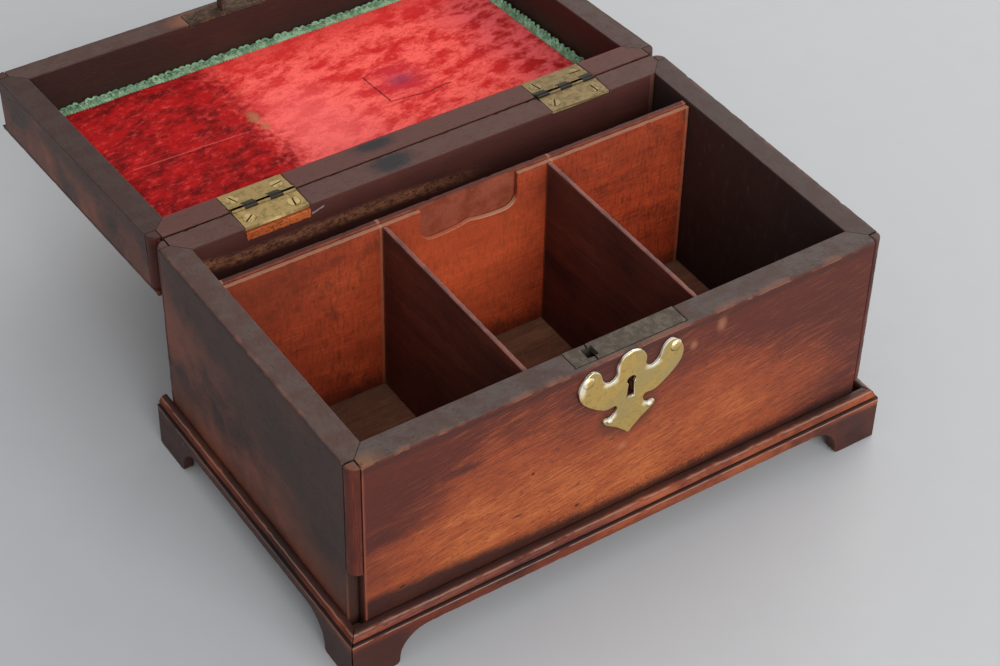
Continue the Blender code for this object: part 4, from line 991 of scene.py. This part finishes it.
def fence_off(bm, node):
    """Cut a wall along lines just inside its arrises, so that wear there leaves its faces flat."""
    inset = 2.4
    side = node.replace("lid_", "").replace("_wall", "")
    axis, place = {"front": (1, FRONT + inset), "back": (1, BACK - inset),
                   "left": (0, LEFT + inset), "right": (0, RIGHT - inset)}[side]
    level = LID_RIM + inset if on_lid(node) else RIM - inset
    for index, where in ((axis, place), (2, level)):
        normal = Vector([float(i == index) for i in range(3)])
        cut(bm, normal * where * MM, normal)
    bmesh.ops.dissolve_edges(bm, edges=[edge for edge in bm.edges if is_stray(edge, axis, place, level)],
                             use_verts=True)


def is_stray(edge, axis, place, level):
    """A flat edge that crosses the strip between a wall's outer face and the fence inside it."""
    ends = [vert.co / MM for vert in edge.verts]
    for index, where in ((axis, place), (2, level)):
        if all(abs(end[index] - where) < 0.01 for end in ends):
            return False
    outward = math.copysign(1, place - (FRONT + BACK) / 2 if axis == 1 else place)
    beyond = all((end[axis] - place) * outward > -0.01 for end in ends)
    return beyond and len(edge.link_faces) == 2 and edge.calc_face_angle(1) < 0.002


def wear_node(node, material, passes, slices=None, frays=(), mitred=False):
    """Stand a copy in for a CAD piece with its edges rounded, sliced and frayed."""
    bm = clean_copy(node)
    if mitred:
        close_mitres(bm)
    if "back_wall" in node:
        crowd_back(bm, node)
    for softening in passes:
        soften(bm, *softening)
    if node.endswith("_wall"):
        fence_off(bm, node)
    if slices:
        slice_up(bm, *slices)
    for seed, (near, reach, scale) in enumerate(frays):
        fray(bm, near, reach, scale, 3.0 + 7 * seed)
    stand_in(node, bm, material)


def on_outside(point, depth=1.0):
    """Whether a point is within the depth of the walls' outer faces."""
    return abs(point.x) > RIGHT - depth or point.y < FRONT + depth or point.y > BACK - depth


def straight(along):
    """Whether an edge runs along a wall, not across a mitre."""
    return min(abs(along.x), abs(along.y)) < 0.01


def rim_edges(shut, outer):
    """A rule that picks the outer or the inner edges of the carcase's rim, or of the lid's."""
    return lambda middle, along: (near_joint(middle, shut, 0.5) and on_outside(middle) == outer
                                  and straight(along))


def near_joint(point, shut, reach):
    """Whether a point is close to the plane where the box, or the lid when shut, ends."""
    return point.z < LID_RIM + reach if shut else point.z > RIM - reach


def rim_corner(shut):
    """A rule that picks the points near a rim's outer corner."""
    return lambda point: near_joint(point, shut, 1.6) and on_outside(point, 1.5)


def build_wood():
    """Every wooden piece, worn."""
    walls = [(0.9, rim_edges(False, True), 3), (0.35, rim_edges(False, False), 2)]
    side_left, side_right = side_panel("left_mahogany"), side_panel("right_mahogany")
    for node, material, axis in (("front_wall", front_panel(), 0), ("left_wall", side_left, 1),
                                 ("right_wall", side_right, 1), ("back_wall", back_panel(), 0)):
        wear_node(node, material, walls, (axis, 2.0), [(rim_corner(False), 0.5, 0.3)], mitred=True)
    lid_walls = [(0.8, rim_edges(True, True), 3), (0.35, rim_edges(True, False), 2)]
    lid_sides = (("front", "X", 0.4), ("back", "X", 1.0), ("left", "Y", 0.2), ("right", "Y", 0.3))
    for side, along, red in lid_sides:
        wear_node(f"lid_{side}_wall", lid_panel(f"lid_{side}_mahogany", along, red), lid_walls,
                  (0 if along == "X" else 1, 2.5), [(rim_corner(True), 0.4, 0.25)], mitred=True)

    bead = bead_wood("bead_mahogany")
    lid_bead = bead_wood("lid_bead_mahogany", True)
    top_end = [(0.9, lambda middle, along: middle.z > RIM - 0.5, 3), (0.25, anything, 1)]
    for place in ("front_left", "front_right", "back_left", "back_right"):
        wear_node("corner_bead_" + place, bead, top_end, (2, 2.0), [(anywhere, 0.35, 0.2)])
        wear_node("lid_corner_bead_" + place, lid_bead, [(0.3, anything, 2)], (2, 2.5),
                  [(anywhere, 0.3, 0.25)])
    for side in ("front", "back", "left", "right"):
        along = "Y" if side in ("left", "right") else "X"
        wear_node("lid_edge_bead_" + side, edge_bead_wood(f"edge_bead_{side}", along), [(0.2, anything, 1)],
                  (0 if along == "X" else 1, 3.0), [(anywhere, 0.3, 0.15)])
    wear_node("lid_top_panel", panel_wood(), [(0.3, anything, 2)])

    along_x, along_y = plinth_wood("plinth_mahogany_x", "X"), plinth_wood("plinth_mahogany_y", "Y")
    for side, material, axis in (("front", along_x, 0), ("left", along_y, 1), ("right", along_y, 1)):
        wear_node("plinth_" + side, material, [(0.5, anything, 3)], (axis, 3.0),
                  [(lambda point: point.z > 18 or on_outside(point, -4), 0.18, 0.2)])
        wear_node("plinth_moulding_" + side, material, [(0.2, anything, 1)], (axis, 2.5),
                  [(anywhere, 0.25, 0.3)])
    wear_node("plinth_back", along_x, [(0.5, anything, 3)], (0, 4.0), [(anywhere, 0.25, 0.2)])

    top_edge = [(lambda point: point.z > RIM - 3.2, 0.3, 0.4)]
    wear_node("notched_partition", partition_wood("partition_mahogany"),
              [(0.35, lambda middle, along: middle.z > 80, 2), (0.15, anything, 1)], (0, 2.0), top_edge)
    wear_node("sliding_partition", partition_wood("loose_partition_mahogany", True), [(0.35, anything, 2)],
              (0, 2.0), top_edge)
    divider = divider_wood()
    for side in ("left", "right"):
        wear_node("cross_divider_" + side, divider, [(0.5, anything, 3)], (1, 2.0), top_edge)
    NODES["bottom_board"].data.materials[0] = bottom_wood()
    patch_low = in_mm(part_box("hinge_patch"))[0]
    wear_node("hinge_patch", repair_wood(), [(0.2, anything, 1)], (0, 0.8),
              [(lambda point: point.z < patch_low.z + 2 and point.y < patch_low.y + 1, 0.6, 0.5)])


def build_hinge_leaf(node, material):
    """A leaf with its knuckles worn nearly flush on the side that shows with the lid open."""
    proud = 0.4
    bm = clean_copy(node)
    for vert in bm.verts:
        if on_lid(node):
            vert.co.z = max(vert.co.z, (HINGE_SEAT - proud) * MM)
        else:
            vert.co.z = min(vert.co.z, (HINGE_SEAT + proud) * MM)
    soften(bm, 0.15, anything, 1)
    stand_in(node, bm, material)


def build_hinge_pin(node, material):
    """The pin, rusted thin between the knuckles."""
    bm = clean_copy(node)
    for vert in bm.verts:
        vert.co.yz = PIN.yz + (vert.co.yz - PIN.yz) * 0.2
    stand_in(node, bm, material)


def build_metal():
    """Hinges, screws, lock, link plate and escutcheon."""
    dull, lid_dull = dull_brass("lock_brass"), dull_brass("link_plate_brass", True)
    dark_iron = iron()
    for side, browned in (("left", 0.1), ("right", 0.7)):
        for half, shut in (("body", False), ("lid", True)):
            leaf = hinge_brass(f"{side}_{half}_hinge_brass", shut, False, browned)
            screw = hinge_brass(f"{side}_{half}_screw_brass", shut, True, browned)
            build_hinge_leaf(f"hinge_{side}_{half}_leaf", leaf)
            for index in (1, 2):
                wear_node(f"hinge_{side}_{half}_screw_{index}", screw, [(0.12, anything, 1)])
        build_hinge_pin(f"hinge_{side}_pin", dark_iron)
    build_selvedge(dull)
    wear_node("lock_case", dull, [(0.12, anything, 1)])
    for node in ("lock_screw_left", "lock_screw_right"):
        NODES[node].data.materials[0] = dull
    wear_node("link_plate", lid_dull, [(0.15, lambda middle, along: middle.z > LID_RIM - 0.3, 1)])
    for node in ("link_plate_screw_left", "link_plate_screw_right"):
        NODES[node].data.materials[0] = lid_dull
    for node in ("lock_bolt", "lock_spring"):
        NODES[node].data.materials[0] = dark_iron
    build_escutcheon()


def build_selvedge(material):
    """The lock's top plate, broken across at the staple's slot with a ragged crack."""
    low, high = in_mm(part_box("lock_selvedge"))
    slot = [vert.co / MM for vert in NODES["lock_selvedge"].data.vertices]
    inner = [p for p in slot if low.x + 2 < p.x < high.x - 2]
    crack_x = (min(p.x for p in inner) + max(p.x for p in inner)) / 2 + 0.6
    bm = clean_copy("lock_selvedge")
    soften(bm, 0.15, anything, 1)
    slice_up(bm, 1, 0.45)
    halves = []
    for sign in (-1, 1):
        half = bm.copy()
        found = cut(half, Vector((crack_x, 0, 0)) * MM, (-sign, 0, 0), clear_outer=True)["geom_cut"]
        for vert in (item for item in found if isinstance(item, bmesh.types.BMVert)):
            point = vert.co / MM
            jag = 1.3 * noise.noise(Vector((0, point.y * 0.8, 4)))
            jag += 0.7 * noise.noise(Vector((0, point.y * 2.2, 9)))
            vert.co.x += (jag + sign * 0.35) * MM
            if sign < 0:
                vert.co.z -= 0.25 * MM
        bmesh.ops.edgenet_fill(half, edges=[item for item in found if isinstance(item, bmesh.types.BMEdge)])
        halves.append(half)
    for half in halves[1:]:
        mesh = bpy.data.meshes.new("selvedge_half")
        half.to_mesh(mesh)
        halves[0].from_mesh(mesh)
        bpy.data.meshes.remove(mesh)
        half.free()
    bm.free()
    stand_in("lock_selvedge", halves[0], material)


def build_escutcheon():
    """The pierced plate with rounded edges, and small bosses cast on its wings and barbs."""
    low, high = in_mm(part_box("escutcheon"))
    middle, face = (low.x + high.x) / 2, low.y
    bm = clean_copy("escutcheon")
    soften(bm, 0.7, lambda point, along: point.y < face + 0.3, 3)
    for x, z, size in ((20.8, -7.2, 2.9), (9.6, -32.6, 1.5)):
        for sign in (-1, 1):
            place = Vector((middle + sign * x, face + 0.35, RIM + z)) * MM
            shape = Matrix.Translation(place) @ Matrix.Diagonal((size * MM, 1.3 * MM, size * MM, 1))
            bmesh.ops.create_uvsphere(bm, u_segments=16, v_segments=10, radius=1, matrix=shape)
    stand_in("escutcheon", bm, escutcheon_brass())


def velvet_height(x, y):
    """How far the pile stands off the lid's panel at a point, in millimetres."""
    swell = 0.5 * noise.noise(Vector((x * 0.035, y * 0.05, 3.0)))
    crush = 0.28 * noise.noise(Vector((x * 0.16, y * 0.28, 8.0)))
    tuft = 0.1 * noise.noise(Vector((x * 0.6, y * 0.8, 1.0)))
    return 1.0 + swell * 0.6 + crush + tuft


def build_velvet():
    """The lining: a thin, uneven sheet that rolls under the braid at its edges."""
    low, high = BRAID_LOW, BRAID_HIGH
    ceiling = VELVET_HIGH.z
    inset = 1.6
    columns, rows = 150, 86
    bm = bmesh.new()
    bmesh.ops.create_grid(bm, x_segments=columns, y_segments=rows, size=0.5)
    span = Vector((high.x - low.x - 2 * inset, high.y - low.y - 2 * inset, 0))
    centre = Vector(((low.x + high.x) / 2, (low.y + high.y) / 2, 0))
    for vert in bm.verts:
        x = centre.x + vert.co.x * span.x
        y = centre.y + vert.co.y * span.y
        edge = min(x - low.x - inset, high.x - inset - x, y - low.y - inset, high.y - inset - y)
        roll = 1 - math.exp(-edge / 1.2)
        vert.co = Vector((x, y, ceiling - 0.15 - velvet_height(x, y) * roll)) * MM
    edges = [edge for edge in bm.edges if edge.is_boundary]
    lifted = bmesh.ops.extrude_edge_only(bm, edges=edges)["geom"]
    top = [item for item in lifted if isinstance(item, bmesh.types.BMVert)]
    for vert in top:
        vert.co.z = ceiling * MM
    bmesh.ops.edgenet_fill(bm, edges=[item for item in lifted if isinstance(item, bmesh.types.BMEdge)
                                      and item.is_boundary])
    bmesh.ops.recalc_face_normals(bm, faces=bm.faces)
    stand_in("velvet_lining", bm, velvet(), "velvet_sheet")


def braid_paths():
    """The four runs along the lid's inner walls: start, direction, length and the way inward."""
    low, high = BRAID_LOW, BRAID_HIGH
    width, deep = high.x - low.x, high.y - low.y
    return [(Vector((low.x, low.y, 0)), Vector((1, 0, 0)), width, Vector((0, 1, 0))),
            (Vector((high.x, low.y, 0)), Vector((0, 1, 0)), deep, Vector((-1, 0, 0))),
            (Vector((high.x, high.y, 0)), Vector((-1, 0, 0)), width, Vector((0, -1, 0))),
            (Vector((low.x, high.y, 0)), Vector((0, -1, 0)), deep, Vector((1, 0, 0)))]


def add_thread(name, strands, radius, material):
    """Round threads through lists of points (millimetres, lid shut)."""
    curve = bpy.data.curves.new(name, "CURVE")
    curve.dimensions = "3D"
    curve.bevel_depth = radius * MM
    curve.bevel_resolution = 1
    curve.use_fill_caps = True
    for points in strands:
        spline = curve.splines.new("POLY")
        spline.points.add(len(points) - 1)
        for target, point in zip(spline.points, points):
            target.co = (*(OPENING @ (point * MM)), 1)
    obj = link(bpy.data.objects.new(name, curve))
    mesh = baked(obj)
    bpy.data.objects.remove(obj, do_unlink=True)
    mesh.materials.clear()
    mesh.materials.append(material)
    mesh.shade_smooth()
    take_over(link(bpy.data.objects.new(name, mesh)), "lining_braid")


def build_braid():
    """Old gimp: crushed loops that straggle against the wall, over two twisted cords."""
    material = braid_thread()
    ceiling = VELVET_HIGH.z
    pitch, turns = 3.4, 12
    cord_step, cord_twist = 0.6, 3.2
    loops, cords = [], []
    for start, along, length, inward in braid_paths():
        count = round(length / pitch)
        step = length / count
        points = []
        for index in range(count * turns + 1):
            turn = 2 * math.pi * index / turns
            shake = noise.noise(Vector((index * 0.13, length, 2.0)))
            stray = noise.noise(Vector((index * 0.047, length, 12.0)))
            forward = step * index / turns - 1.3 * math.sin(turn) + 0.8 * stray
            aside = 2.6 + (1.7 + 0.6 * stray) * math.cos(turn) + 0.7 * shake
            height = 1.9 + 0.7 * math.sin(turn * 2 + 3 * shake) + 0.9 * shake
            forward = min(max(forward, 0.8), length - 0.8)
            aside = max(aside, 0.8)
            points.append(start + along * forward + inward * aside + Vector((0, 0, ceiling - height)))
        loops.append(points)
        for side in (0, 1):
            for centre, radius in ((4.2, 0.9), (2.4, 0.8)):
                cord = []
                for index in range(int(length / cord_step) + 1):
                    turn = 2 * math.pi * index * cord_step / cord_twist + side * math.pi
                    forward = min(max(index * cord_step, 1.0), length - 1.0)
                    shake = noise.noise(Vector((index * 0.06, length, 7.0 + centre)))
                    aside = centre + radius * math.sin(turn) + 0.7 * shake
                    cord.append(start + along * forward + inward * aside
                                + Vector((0, 0, ceiling - 1.3 - 0.5 * math.cos(turn) - 0.4 * shake)))
                cords.append(cord)
    add_thread("braid_loops", loops, 0.72, material)
    add_thread("braid_cords", cords, 0.8, material)


# ---------------------------------------------------------------- studio

def build_stage():
    """A pale floor, a soft key from the right, a fill, and the camera above the left corner."""
    mesh = bpy.data.meshes.new("floor")
    bm = bmesh.new()
    bmesh.ops.create_grid(bm, x_segments=1, y_segments=1, size=4)
    bm.to_mesh(mesh)
    bm.free()
    floor = link(bpy.data.objects.new("floor", mesh))
    paint = Paint("floor_paper")
    speckle = paint.noise(0.05, 4, 0.6)
    paint.colour = paint.mix((0.425, 0.43, 0.435), (0.45, 0.453, 0.457), speckle)
    mesh.materials.append(paint.finish(0.8, specular=0.2))

    add_light("right_softbox", (2.05, 0.95, 1.05), 2.0, 48, (1.0, 0.985, 0.96))
    add_light("front_softbox", (-0.08, -2.26, 1.06), 2.0, 63, (0.97, 0.98, 1.0))

    world = bpy.data.worlds.new("studio")
    world.use_nodes = True
    tree = world.node_tree
    coordinates = tree.nodes.new("ShaderNodeTexCoord")
    split = tree.nodes.new("ShaderNodeSeparateXYZ")
    ramp = tree.nodes.new("ShaderNodeMapRange")
    tree.links.new(coordinates.outputs["Generated"], split.inputs[0])
    tree.links.new(split.outputs["Z"], ramp.inputs["Value"])
    ramp.inputs["To Min"].default_value = 0.1
    ramp.inputs["To Max"].default_value = 0.9
    background = tree.nodes["Background"]
    background.inputs["Color"].default_value = (0.95, 0.97, 1.0, 1.0)
    tree.links.new(ramp.outputs["Result"], background.inputs["Strength"])
    bpy.context.scene.world = world
    bpy.context.scene.view_settings.view_transform = "Standard"

    camera = link(bpy.data.objects.new("camera", bpy.data.cameras.new("camera")))
    around, above, tip = math.radians(34.29), math.radians(41.47), math.radians(1.35)
    ahead = Vector((math.sin(around) * math.cos(above), math.cos(around) * math.cos(above),
                    -math.sin(above)))
    aim = Vector((-38.6, FRONT + 34.6, RIM)) * MM
    distance = 0.9159
    camera.location = aim - ahead * distance
    camera.rotation_mode = "QUATERNION"
    camera.rotation_quaternion = ahead.to_track_quat("-Z", "Y") @ Quaternion((0, 0, 1), tip)
    camera.data.lens = 85.06
    bpy.context.scene.camera = camera


def add_light(name, place, size, power, colour):
    """A square area light that faces the caddy."""
    light = link(bpy.data.objects.new(name, bpy.data.lights.new(name, "AREA")))
    light.data.shape = "SQUARE"
    light.data.size = size
    light.data.energy = power
    light.data.color = colour
    light.location = place
    light.rotation_mode = "QUATERNION"
    light.rotation_quaternion = (-Vector(place)).to_track_quat("-Z", "Y")


build_wood()
build_metal()
build_velvet()
build_braid()
build_stage()
